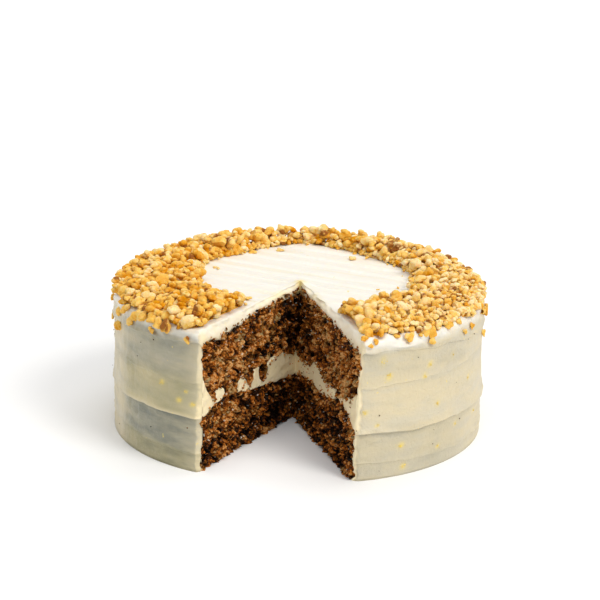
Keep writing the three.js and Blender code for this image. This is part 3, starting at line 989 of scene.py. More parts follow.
    def relief(self, side: Array, along: Array, z: Array) -> tuple[Array, Array]:
        """The crumb of the cut faces.

        Args:
            side: 1 on the right face, -1 on the left.
            along: Distances from the slice's tip.
            z: Heights.

        Returns:
            How far each point stands out of its face, and its tone from 0, dark, to 1, bright.
        """
        shift = 20 * side
        seed = 7 + shift
        x = along + layered(self.warp, along, z, shift)
        y = z + layered(self.warp, along, z, shift + 1)
        clump, clump_value = pebbles(x / self.clump, y / self.clump, seed + 5)
        grain, grain_value = pebbles(x / self.grain, y / self.grain, seed + 2)
        clump_dome, grain_dome = self.dome(clump), self.dome(grain)
        hollow = smoothstep(-clump_value, 0.5, 0.7) * smoothstep(clump_dome, -0.3, 0.5)
        fibre, fibre_value = pebbles(x / self.carrot, y / (0.6 * self.carrot), seed + 8)
        carrot = smoothstep(fibre_value, 0.80, 0.84) * (1 - smoothstep(fibre, 0.30, 0.42))
        height = self.clump_depth * clump_dome * (1 + 0.5 * clump_value) + self.grain_depth * grain_dome
        height = height + self.fine.at(x, y, shift) - self.hollow_depth * hollow + self.carrot_lift * carrot
        broad = self.broad.at(along, z, side) - self.sunk
        tone = self.middle_tone + self.grain_tone * grain_value + self.clump_tone * clump_value
        # Painted light on the tops of lumps and grains, and painted shade in the hollows.
        tone = tone + self.broad_tone.at(along, z, shift) + self.clump_painted_light * clump_dome
        tone = tone + self.grain_painted_light * grain_dome - self.hollow_shade * hollow
        tone = tone + carrot * (self.carrot_tone + 0.1 * grain_value)
        for patch in self.patches:
            mask = spot(along - patch.along, z - patch.z, patch.width, patch.height) * (side == patch.side.value)
            tone = tone + patch.tone * mask
            height = height + patch.lift * mask
        return (height + broad) * smoothstep(along, 0.5, self.calm), np.clip(tone, 0, 1)

    def dome(self, distance: Array) -> Array:
        """How high a rounded lump stands at a distance from its middle. It falls below 0 in the gaps."""
        return 1 - np.minimum(distance / self.dome_radius, self.dome_reach) ** 2

    def interface(self, face: Face, side: Array, along: Array, radius: Array, angle: Array) -> Array:
        """The height of a layer's face, with its ragged edge at the cut."""
        even = CAKE.face(face, radius, angle)
        ragged = self.ragged.at(along, face.centre + 0 * along, side)
        height = even
        for edge in self.edges:
            if edge.face is face:
                torn = lerp(even, edge.height(along) + ragged, smoothstep(along, 0, 2))
                height = np.where(side == edge.side.value, torn, height)
        return height


CUT = CutFaces()


def layer_points(spread: Spread, floor: Face | None, top: Face, overlap: float) -> tuple[Array, Array, Array, Array]:
    """Shapes a plain wedge into a layer of the cake.

    Args:
        spread: The plain wedge's vertices.
        floor: The face that it lies on, or none on the table.
        top: The face above it.
        overlap: How far it reaches into the layers above and below.

    Returns:
        x, y and z from the cake's axis, and the distance along the direction from the slice's tip.
    """
    z = lerp(10.0 if floor is None else floor.centre, top.centre, spread.level)
    for _ in range(3):
        torn = np.maximum(CUT.torn.at(z, 5 * spread.side), 0) * np.abs(spread.side)
        wall = CAKE.reach(spread.turn, z, CAKE.sponge_wall) + torn * (overlap == 0)
        along = spread.share * wall
        x, y = CAKE.at(spread.turn, along, z)
        radius, angle = polar(x, y)
        upper = CUT.interface(top, spread.side, along, radius, angle)
        if floor is None:
            lower = 0.0 * upper
        else:
            lower = CUT.interface(floor, spread.side, along, radius, angle)
            into = overlap * smoothstep(upper - lower, 0.2, 1.5)
            upper, lower = upper + into, lower - into
        z = lerp(lower, np.maximum(upper, lower + 0.2), spread.level)
    return x, y, z, along


@dataclass
class SpongeLayer:
    """One sponge, torn to crumb at both cut faces."""

    name: str
    node: str
    floor: Face | None
    top: Face
    columns: int = 250
    rows: int = 84
    steps: int = 24
    tone: float = 0.0
    uncut_tone: float = 0.4

    def build(self) -> tuple[bpy.types.Mesh, Array, dict[str, Array]]:
        """Builds the layer.

        Returns:
            Its mesh, its points and the values that its finish reads.
        """
        wedge = Wedge(self.columns, self.rows, self.steps)
        mesh = to_mesh(self.name, wedge.build())
        spread = Spread.of(mesh, wedge)
        x, y, z, along = layer_points(spread, self.floor, self.top, 0.0)
        height, tone = CUT.relief(spread.side, along, z)
        height = height * np.abs(spread.side)
        out_x, out_y = CAKE.outward(spread.side)
        points = np.stack([x + height * out_x, y + height * out_y, np.maximum(z, 0)], 1)
        return mesh, points, {"tone": np.where(spread.side == 0, self.uncut_tone, tone + self.tone)}

    def dress(self, material: bpy.types.Material) -> bpy.types.Object:
        """Finishes the layer with its material."""
        mesh, points, carried = self.build()
        return finished(self.name, mesh, points, material, "sponge", [self.node], carried, 180)


@dataclass
class Filling:
    """The cream between the sponges. Its cut faces show the knife's drag, and sink at the crumb."""

    name: str = "filling"
    columns: int = 190
    rows: int = 26
    steps: int = 24
    proud: float = 0.1
    sunk_edge: float = 1.0
    overlap: float = 0.7
    smears: tuple[Relief, ...] = (Relief(0.5, 7, 3.4, 61), Relief(0.22, 1.2, 4, 63, 3))

    def build(self) -> tuple[bpy.types.Mesh, Array, dict[str, Array]]:
        """Builds the filling.

        Returns:
            Its mesh, its points and the values that its finish reads.
        """
        wedge = Wedge(self.columns, self.rows, self.steps)
        mesh = to_mesh(self.name, wedge.build())
        spread = Spread.of(mesh, wedge)
        x, y, z, along = layer_points(spread, CAKE.lower_top, CAKE.upper_floor, self.overlap)
        smear = layered(self.smears, along, z, spread.side)
        row = np.round(spread.level * self.rows)
        edge = np.minimum(row, self.rows - row) < 0.5
        height = (smear + self.proud - self.sunk_edge * edge) * np.abs(spread.side) * smoothstep(along, 0.5, 6)
        out_x, out_y = CAKE.outward(spread.side)
        points = np.stack([x + height * out_x, y + height * out_y, z], 1)
        return mesh, points, {"thin": 0 * along, "butter": 0 * along, "cut": 1 + 0 * along}

    def dress(self, material: bpy.types.Material) -> bpy.types.Object:
        """Finishes the filling with its material."""
        mesh, points, carried = self.build()
        return finished(self.name, mesh, points, material, "cream", ["cream_filling"], carried)


# ---- Cream coat ----

# The angle, height and size of each spot of zest in the cream of the side.
ZEST_SPOTS = (
    (-121.7, 36.9, 1.6), (-116.9, 36.0, 1.4), (-128.9, 43.6, 1.5), (-119.3, 42.0, 1.0), (-41.8, 56.0, 1.5),
    (-57.2, 54.2, 1.9), (-20.3, 40.2, 1.6), (-64.7, 36.2, 1.5), (-59.3, 62.0, 1.8), (-38.0, 33.7, 1.4),
    (-52.2, 16.1, 1.9), (-51.2, 4.4, 1.8), (-37.1, 9.9, 1.3), (-28.0, 18.2, 1.2), (-13.4, 17.8, 1.5),
    (-44.0, 50.0, 1.3), (-31.0, 57.0, 1.2), (-61.0, 29.0, 1.0), (20.0, 30.0, 1.6), (33.0, 55.0, 1.4),
    (47.0, 18.0, 1.5), (61.0, 43.0, 1.8), (78.0, 60.0, 1.3), (96.0, 12.0, 1.6), (109.0, 37.0, 1.4),
    (127.0, 52.0, 1.7), (141.0, 25.0, 1.4), (158.0, 44.0, 1.6), (170.0, 14.0, 1.3),
)


@dataclass
class Coat:
    """The coat: a cup of cream over both sponges, spread in bands round the side and in strokes over the top."""

    name: str = "coat"
    rows: int = 6
    steps: int = 460
    rim_columns: int = 9
    top_columns: int = 76
    kept_inside: int = 10
    below_lip: float = 0.9
    above_lip: float = 1.5
    bead: float = 0.35
    lump_depth: float = 1.7
    marks: tuple[tuple[float, float, float, float, float], ...] = (
        (-65.5, 25.6, 3.0, 0.7, 0.7), (-61.5, 27.0, 4.0, 0.7, 0.8), (-56.5, 25.4, 4.0, 0.7, 0.6),
        (-61.8, 20.6, 1.8, 1.0, 0.9), (-28.5, 24.4, 1.5, 1.8, 0.9), (-57.5, 54.6, 3.0, 0.8, 0.5),
        (-36.0, 66.8, 9.0, 1.3, 0.8), (-52.0, 69.0, 7.0, 1.0, 0.9), (-121.0, 10.6, 6.0, 0.8, 0.7),
        (-133.0, 63.0, 2.2, 1.2, -0.5), (-127.5, 65.5, 5.0, 0.8, -0.5), (-121.0, 49.4, 6.0, 0.6, 0.5),
        (-158.0, 45.0, 3.0, 1.2, 0.6), (-150.0, 43.5, 3.5, 0.8, 0.6), (-142.0, 21.0, 2.0, 1.5, -0.6),
    )
    stroke_heading: float = -22.0
    stroke_width: float = 13.0
    stroke_depth: float = 0.8
    stroke_step: float = 0.6
    stroke_reach: float = 66.0
    stroke_wander: Relief = Relief(1.3, 34, 30, 71)
    stroke_grooves: tuple[Relief, ...] = (Relief(0.05, 1.1, 40, 73), Relief(0.07, 3.1, 28, 75))
    dents: tuple[Relief, ...] = (Relief(0.4, 23, 15, 81), Relief(0.22, 9, 6, 83))
    slant: float = 0.12
    long_ridges: Relief = Relief(0.16, 22, 1.7, 85)
    short_ridges: Relief = Relief(0.14, 3.4, 9, 87)
    plaster: Relief = Relief(0.5, 2.6, 6, 86, 3)
    bead_swell: tuple[Relief, ...] = (Relief(0.8, 21, 1, 88), Relief(0.3, 4, 1, 90))
    bead_width: float = 0.55
    side_inset: float = 0.3
    lumps: Relief = Relief(1, 5.5, 4, 89, 4)
    top_swell: Relief = Relief(0.3, 19, 19, 91)
    peak_height: float = 1.2
    peak_width: float = 4.0
    overlap: float = 0.8
    cut_smear: Relief = Relief(0.35, 5, 4, 93)
    cut_nicks: Relief = Relief(1, 3.4, 2.6, 94, 3)
    patchiness: Relief = Relief(1, 1, 8, 95, 3)
    shade_depth: float = 0.10
    shade_patches: Relief = Relief(0.9, 18, 1, 97)
    wash_clouds: Relief = Relief(0.35, 17, 5, 98, 3)
    cut_butter: Relief = Relief(0.2, 4, 4, 99)

    def __post_init__(self) -> None:
        """Works out the columns: close together over each band's lip, wider between them."""
        self.side_columns = [0, 6, 14, 27, 35, 53, 61, 66, 74, 82]
        self.columns = self.side_columns[-1] + self.rim_columns + self.top_columns

    def plain(self, wedge: Wedge) -> bpy.types.Mesh:
        """The plain form, with few faces on the wall that lies against the sponges."""
        plain = wedge.build()
        hidden = []
        for edge in plain.edges:
            a, b = edge.verts
            radius = a.co.xy.length
            level_ring = abs(radius - b.co.xy.length) < CLOSE
            column = round(radius * self.columns)
            if a.co.z < CLOSE and b.co.z < CLOSE and level_ring and 0 < column < self.columns:
                if column % self.kept_inside:
                    hidden.append(edge)
        bmesh.ops.dissolve_edges(plain, edges=hidden, use_verts=True, use_face_split=False)
        return to_mesh(self.name, plain)

    def side_heights(self, column: Array, angle: Array) -> Array:
        """The height of each column on the side, so that columns follow the bands' lips round the cake."""
        shifts = (-self.below_lip, self.above_lip)
        lips = [edge + shift for edge in CAKE.band_edges(angle) for shift in shifts]
        heights = [0 * angle, *lips, CAKE.rim_start + 0 * angle]
        z = heights[-1]
        for low, high, below, above in zip(self.side_columns, self.side_columns[1:], heights, heights[1:]):
            share = np.clip((column - low) / (high - low), 0, 1)
            z = np.where((column >= low) & (column <= high), lerp(below, above, share), z)
        return z

    def strokes(self, x: Array, y: Array) -> Array:
        """The shallow slanted strokes that lie side by side over the top."""
        across = -x * sin(self.stroke_heading) + y * cos(self.stroke_heading)
        along = x * cos(self.stroke_heading) + y * sin(self.stroke_heading)
        across = across + self.stroke_wander.at(along, across)
        depth = np.zeros(x.shape)
        offset, count = -self.stroke_reach, 0
        while offset < self.stroke_reach:
            width = self.stroke_width * (1 + 0.3 * float(corner_value(count, 0, 31)))
            share = (across - offset) / width
            falling = np.where((share >= 0) & (share < 1), share, 0)
            rising = np.clip(1 - (across - offset - width) / self.stroke_step, 0, 1)
            depth = np.maximum(depth, np.where(share >= 1, rising, falling))
            offset += width + self.stroke_step
            count += 1
        return -self.stroke_depth * depth + layered(self.stroke_grooves, across, along)

    def worked(self, angle: Array, z: Array) -> Array:
        """How far the spatula's marks on the side stand out: dents, long fine ridges, and a bead on each lip."""
        arc = CAKE.arc(angle)
        ridges = self.long_ridges.at(arc, z + self.slant * arc) + self.short_ridges.at(arc, z)
        ridges = ridges + smoothstep(cos(angle + 160), 0.8, 0.97) * self.plaster.at(arc, z)
        for mark_angle, mark_z, long, high, out in self.marks:
            ridges = ridges + out * spot(arc - CAKE.arc(mark_angle), z - mark_z, long, high)
        for band, edge in enumerate(CAKE.band_edges(angle)):
            swell = np.clip(0.6 + layered(self.bead_swell, arc, band * 5.3), 0, 1.5)
            ridges = ridges + self.bead * swell * bell(z - edge - self.bead_width, self.bead_width)
        return layered(self.dents, arc, z) + ridges - self.side_inset

    def rim_lumps(self, angle: Array, up: Array) -> Array:
        """How far the uneven cream of the rim stands out. Up is measured along its surface, over the rim."""
        start = CAKE.rim_start
        here = smoothstep(up, start - 5, start + 1) * (1 - smoothstep(up, start + 10, start + 17))
        return self.lump_depth * here * (self.lumps.at(CAKE.arc(angle), up) - 0.15)

    def build(self) -> tuple[bpy.types.Mesh, Array, dict[str, Array]]:
        """Builds the coat.

        Returns:
            Its mesh, its points and the values that its finish reads.
        """
        wedge = Wedge(self.columns, self.rows, self.steps, sectors=20)
        mesh = self.plain(wedge)
        spread = Spread.of(mesh, wedge)
        column = np.round((1 - spread.share) * self.columns, 2)
        rim_start, rim_end = self.side_columns[-1], self.side_columns[-1] + self.rim_columns
        on_side = column <= rim_start
        roll = np.clip((column - rim_start) / self.rim_columns, 0, 1) * 90
        inward = np.clip((column - rim_end) / self.top_columns, 0, 1)

        # The outer surface, from the foot up the side, round the rim and over the top to the slice's tip.
        x, y = CAKE.at(spread.turn, CAKE.radius + 0 * spread.turn, 40.0)
        angle = polar(x, y)[1]
        up = math.pi / 2 * CAKE.rim_rounding * roll / 90 + CAKE.radius * inward
        for _ in range(3):
            z = np.where(on_side, self.side_heights(column, angle), CAKE.rim_start + CAKE.rim_rounding * sin(roll))
            below_rim = np.minimum(z, CAKE.rim_start)
            in_rim = CAKE.rim_rounding * (1 - cos(roll))
            along = CAKE.reach(
                spread.turn,
                z,
                lambda a: CAKE.coat_wall(a, below_rim)
                + self.worked(a, z) * (z > 0.5)
                + self.rim_lumps(a, below_rim + up) * cos(roll)
                - in_rim,
            )
            x, y = CAKE.at(spread.turn, along, z)
            angle = polar(x, y)[1]
        along = along * (1 - inward)
        x, y = CAKE.at(spread.turn, along, z)
        top = smoothstep(column, rim_start + 2, rim_end + 2)
        soft = self.top_swell.at(x, y) - 0.1
        tip_x, tip_y = CAKE.tip(CAKE.height)
        peak = self.peak_height * spot(x - tip_x, y - tip_y, self.peak_width, self.peak_width)
        back_from_cut = smoothstep(CAKE.from_slice(x, y, CAKE.height), 0, 9)
        z = z + top * (self.strokes(x, y) * back_from_cut + soft + peak)
        z = z + self.rim_lumps(angle, below_rim + up) * sin(roll)

        # The wall against the sponges.
        corner = CAKE.face(CAKE.upper_top, CAKE.sponge_radius, angle)
        lid = np.clip((column - rim_start) / (self.columns - rim_start), 0, 1)
        inner_z = np.minimum(z, corner)
        for _ in range(2):
            inner_along = CAKE.reach(spread.turn, inner_z, CAKE.sponge_wall) * (1 - lid)
            inner_x, inner_y = CAKE.at(spread.turn, inner_along, inner_z)
            radius, inner_angle = polar(inner_x, inner_y)
            lid_z = CUT.interface(CAKE.upper_top, spread.side, inner_along, radius, inner_angle)
            inner_z = np.where(column > rim_start, lid_z, np.minimum(z, corner))
        over_sponge = smoothstep(lid, 0, 0.02)
        inner_along = inner_along - self.overlap * (1 - over_sponge)
        inner_z = inner_z - self.overlap * over_sponge
        inner_x, inner_y = CAKE.at(spread.turn, np.maximum(inner_along, 0), inner_z)

        points = np.stack(
            [lerp(a, b, spread.level) for a, b in ((inner_x, x), (inner_y, y), (inner_z, z))],
            1,
        )
        self.soften_cut(points, spread, angle, top)
        points[:, 2] = np.maximum(points[:, 2], 0)
        cut = np.abs(spread.side) * (1 - 0.5 * smoothstep(spread.level, 0.7, 1.0)) * (1 - 0.55 * top)
        carried = {"thin": self.thinness_and_shade(angle, z, top), "butter": self.buttery(points, top), "cut": cut}
        return mesh, points, carried

    def soften_cut(self, points: Array, spread: Spread, angle: Array, top: Array) -> None:
        """Smears the coat's cut faces and wears their outer edges round, as a knife leaves them.

        Args:
            points: The coat's points, which are moved.
            spread: Where they lie in the plain form.
            angle: Their angles about the cake's axis.
            top: How far each belongs to the top, from 0 to 1.
        """
        tip_x, tip_y = CAKE.tip(points[:, 2])
        away = np.hypot(points[:, 0] - tip_x, points[:, 1] - tip_y)
        behind = np.maximum(CAKE.from_slice(points[:, 0], points[:, 1], points[:, 2]), 0)
        side = np.sign(points[:, 0] - tip_x)
        clear_of_tip = smoothstep(away, 0.5, 6)
        nicks = self.cut_nicks.at(away, points[:, 2], side)
        smear = (self.cut_smear.at(away, points[:, 2], side) - 0.2) * np.abs(spread.side)
        leaning = (1.5 + 1.6 * nicks) * smoothstep(spread.level, 0.1, 1.0) ** 1.6 * np.exp(-behind / 3.2)
        out = (smear - leaning) * clear_of_tip
        out_x, out_y = CAKE.outward(side)
        worn = np.exp(-behind / 1.8) * smoothstep(spread.level, 0.4, 1.0) * clear_of_tip
        in_rim = 0.6 * worn * (1 - top)
        points[:, 0] += out * out_x - in_rim * cos(angle)
        points[:, 1] += out * out_y - in_rim * sin(angle)
        points[:, 2] -= (0.45 + 0.5 * nicks) * worn * top

    def thin_side(self, angle: Array) -> Array:
        """How far an angle lies on the side where the cream is spread thinnest, from 0 to 1."""
        return smoothstep(cos(angle + 130), 0.90, 0.975) * (1 - 0.45 * smoothstep(angle, -123, -113))

    def thinness_and_shade(self, angle: Array, z: Array, top: Array) -> Array:
        """How strongly the grey-green colour shows: where the cream is spread thinly, most on the left, a little near
        the cut and in patches, and as painted shade in a line under each band's lip.
        """
        edges = CAKE.band_edges(angle)
        arc = CAKE.arc(angle)
        left = self.thin_side(angle)
        under = np.exp(-np.maximum(edges[1] - z, 0) / 11) * smoothstep(edges[1] - z, -0.2, 0.6)
        foot = 1 - smoothstep(z, edges[0] - 0.5, edges[0] + 1)
        high = smoothstep(z, edges[2] - 2, edges[2] + 8)
        middle = smoothstep(z, edges[1], edges[1] + 3) * (1 - high)
        low = (1 - foot) * (1 - smoothstep(z, edges[1] - 0.5, edges[1] + 0.5))
        wash = left * ((0.66 + 0.22 * under) * low + 0.76 * foot + 0.58 * high + 0.59 * middle)
        near_cut = smoothstep(cos(angle + 50), 0.80, 0.98)
        wash = wash + near_cut * (0.19 * (low + foot) + 0.08 * high)
        patches = smoothstep(self.patchiness.at(arc / 24 + z / 14, z), 0.08, 0.6)
        wash = wash + (0.15 - 0.05 * left) * patches
        # Painted shade in a line just under each band's lip.
        for band, edge in enumerate(edges):
            shade = bell(edge - 1.2 - z, 1.6) * np.clip(0.5 + self.shade_patches.at(arc, band * 3.0), 0, 1)
            wash = wash + self.shade_depth * shade
        wash = wash * (1 + self.wash_clouds.at(arc, z)) * (1 - 0.6 * smoothstep(z, 68.5, 73))
        return np.clip(wash, 0, 1) * (1 - top)

    def buttery(self, points: Array, top: Array) -> Array:
        """Where the cream is yellow: over zest that lies in it, and along its cut edge near the slice's tip."""
        x, y, z = points.T
        radius, angle = polar(x, y)
        spots = np.zeros(x.shape)
        for zest_angle, zest_z, size in ZEST_SPOTS:
            arc = CAKE.arc(np.mod(angle - zest_angle + 180, 360) - 180)
            spots = spots + 0.75 * spot(arc, z - zest_z, size, 0.8 * size) * (radius > 80) * (1 - top)
        tip_x, tip_y = CAKE.tip(CAKE.height)
        away = np.hypot(x - tip_x, y - tip_y)
        cut_edge = (1 - smoothstep(CAKE.from_slice(x, y, CAKE.height), 1.5, 5.5)) * (1 - smoothstep(away, 20, 60))
        patchy = 0.15 + self.cut_butter.at(x, y)
        at_tip = 0.5 * bell(away, 2.5)
        edges = CAKE.band_edges(angle)
        left = self.thin_side(angle) * (1 - top) * (radius > 80)
        middle = smoothstep(z, edges[1], edges[1] + 2) * (1 - smoothstep(z, edges[2] - 2, edges[2] + 6))
        foot = 1 - smoothstep(z, edges[0], edges[0] + 2)
        tinged = left * (0.16 * middle + 0.13 * foot + 0.05)
        return np.clip(spots + tinged + (cut_edge * patchy + at_tip) * (z > 66), 0, 0.85)

    def dress(self, material: bpy.types.Material) -> bpy.types.Object:
        """Finishes the coat with its material."""
        mesh, points, carried = self.build()
        return finished(self.name, mesh, points, material, "cream", ["cream_coat"], carried)


# ---- Small pieces ----


@dataclass(frozen=True)
class Bit:
    """A small piece's plain form, about one unit across: its corners and its triangles."""

    corners: Array
    triangles: Array

    @classmethod
    def chopped(cls, seed: int, subdivisions: int, lumpy: float, cuts: int) -> Bit:
        """A lumpy ball with flat faces where it was cut or broke.

        Args:
            seed: Another number gives another piece.
            subdivisions: How finely the ball is divided.
            lumpy: How deep its lumps are.
            cuts: How many flat faces it has.

        Returns:
            The piece.
        """
        random = np.random.default_rng(seed)
        ball = bmesh.new()
        bmesh.ops.create_icosphere(ball, subdivisions=subdivisions, radius=1.0)
        offset = Vector(random.uniform(-9, 9, 3))
        lobes = [Vector(random.normal(size=3)).normalized() * random.uniform(0.3, 0.3 + lumpy) for _ in range(5)]
        for vertex in ball.verts:
            reach = 0.5
            for lobe in lobes:
                ahead = vertex.co.dot(lobe)
                inside = ahead**2 - lobe.length_squared + 0.5**2
                if ahead > 0 and inside > 0:
                    reach = max(reach, ahead + math.sqrt(inside))
            vertex.co *= reach + 0.12 * noise.noise(vertex.co * 3.5 + offset)
        for _ in range(cuts):
            normal = Vector(random.normal(size=3)).normalized()
            cut = bmesh.ops.bisect_plane(
                ball,
                geom=ball.verts[:] + ball.edges[:] + ball.faces[:],
                dist=1e-4,
                plane_co=normal * random.uniform(0.38, 0.62),
                plane_no=normal,
                clear_outer=True,
            )
            rim = [e for e in cut["geom_cut"] if isinstance(e, bmesh.types.BMEdge)]
            bmesh.ops.holes_fill(ball, edges=rim, sides=0)
        bmesh.ops.remove_doubles(ball, verts=ball.verts, dist=0.04)
        bmesh.ops.triangulate(ball, faces=ball.faces)
        bmesh.ops.recalc_face_normals(ball, faces=ball.faces)
        ball.verts.index_update()
        corners = np.array([vertex.co[:] for vertex in ball.verts])
        corners = (corners - corners.mean(0)) / np.ptp(corners, axis=0).mean()
        triangles = np.array([[vertex.index for vertex in face.verts] for face in ball.faces])
        ball.free()
        return cls(corners, triangles)


def turned(random: np.random.Generator, tilt: float) -> Array:
    """A turn by any angle about the upright axis after a tilt of up to so many degrees."""
    yaw = Matrix.Rotation(random.uniform(0, 2 * math.pi), 3, "Z")
    lean = Matrix.Rotation(math.radians(random.uniform(-tilt, tilt)), 3, "X")
    roll = Matrix.Rotation(math.radians(random.uniform(-tilt, tilt)), 3, "Y")
    return np.array(yaw @ lean @ roll)


def facing(normal: Array, random: np.random.Generator) -> Array:
    """A turn that lays a piece's flat side on a surface with that normal, twisted by any angle."""
    lay = Vector(normal).to_track_quat("Z", "X").to_matrix()
    return np.array(lay @ Matrix.Rotation(random.uniform(0, 2 * math.pi), 3, "Z"))


class Scatter:
    """Many small pieces gathered into one mesh."""

    def __init__(self, name: str, bits: Sequence[Bit], seed: int, painted_light: float = 0.0) -> None:
        """Starts with nothing gathered. The last number is painted light and shade: how much brighter a piece is
        painted on its top and its lumps than below and in its creases.
        """
        self.name = name
        self.painted_light = painted_light
        self.bits = bits
        self.random = np.random.default_rng(seed)
        self.corners: list[Array] = []
        self.triangles: list[Array] = []
        self.carried: dict[str, list[Array]] = {"tone": [], "skin": []}
        self.count = 0

    def add(self, place: Array, sizes: Sequence[float], turn: Array, tone: float, skinned: bool = False) -> None:
        """Adds a piece.

        Args:
            place: Its middle from the cake's axis.
            sizes: Its length, width and thickness.
            turn: How it is turned.
            tone: Its brightness from 0 to 1.
            skinned: Whether one side of it has skin.
        """
        bit = self.bits[int(self.random.integers(len(self.bits)))]
        corners = (bit.corners * np.array(sizes)) @ turn.T
        upper = corners[:, 2] / np.abs(corners[:, 2]).max()
        proud = np.linalg.norm(bit.corners, axis=1)
        proud = np.clip((proud - proud.mean()) / (proud.std() + 1e-6), -2, 1.2)
        self.corners.append(corners + place)
        self.triangles.append(bit.triangles + self.count)
        self.count += len(corners)
        facing_skin = bit.corners @ self.random.normal(size=3)
        # Painted light on the piece's top and proud lumps, painted shade below and in its creases.
        self.carried["tone"].append(tone + self.painted_light * (upper - 0.4) + 0.8 * self.painted_light * proud)
        self.carried["skin"].append(smoothstep(facing_skin, 0.05, 0.3) * skinned)

    def dress(
        self, material: bpy.types.Material, slot: str, replaces: Sequence[str] = (), smooth_angle: float = 40
    ) -> bpy.types.Object:
        """Joins the pieces and finishes them.

        Args:
            material: Their finish.
            slot: A material slot's name, passed on but not used.
            replaces: The CAD nodes that they stand for.
            smooth_angle: Edges sharper than this stay sharp.

        Returns:
            The joined pieces.
        """
        corners, triangles = np.concatenate(self.corners), np.concatenate(self.triangles)
        mesh = bpy.data.meshes.new(self.name)
        mesh.from_pydata(corners.tolist(), [], triangles.tolist())
        carried = {key: np.concatenate(values) for key, values in self.carried.items()}
        return finished(self.name, mesh, corners, material, slot, replaces, carried, smooth_angle)


# ---- Walnuts ----


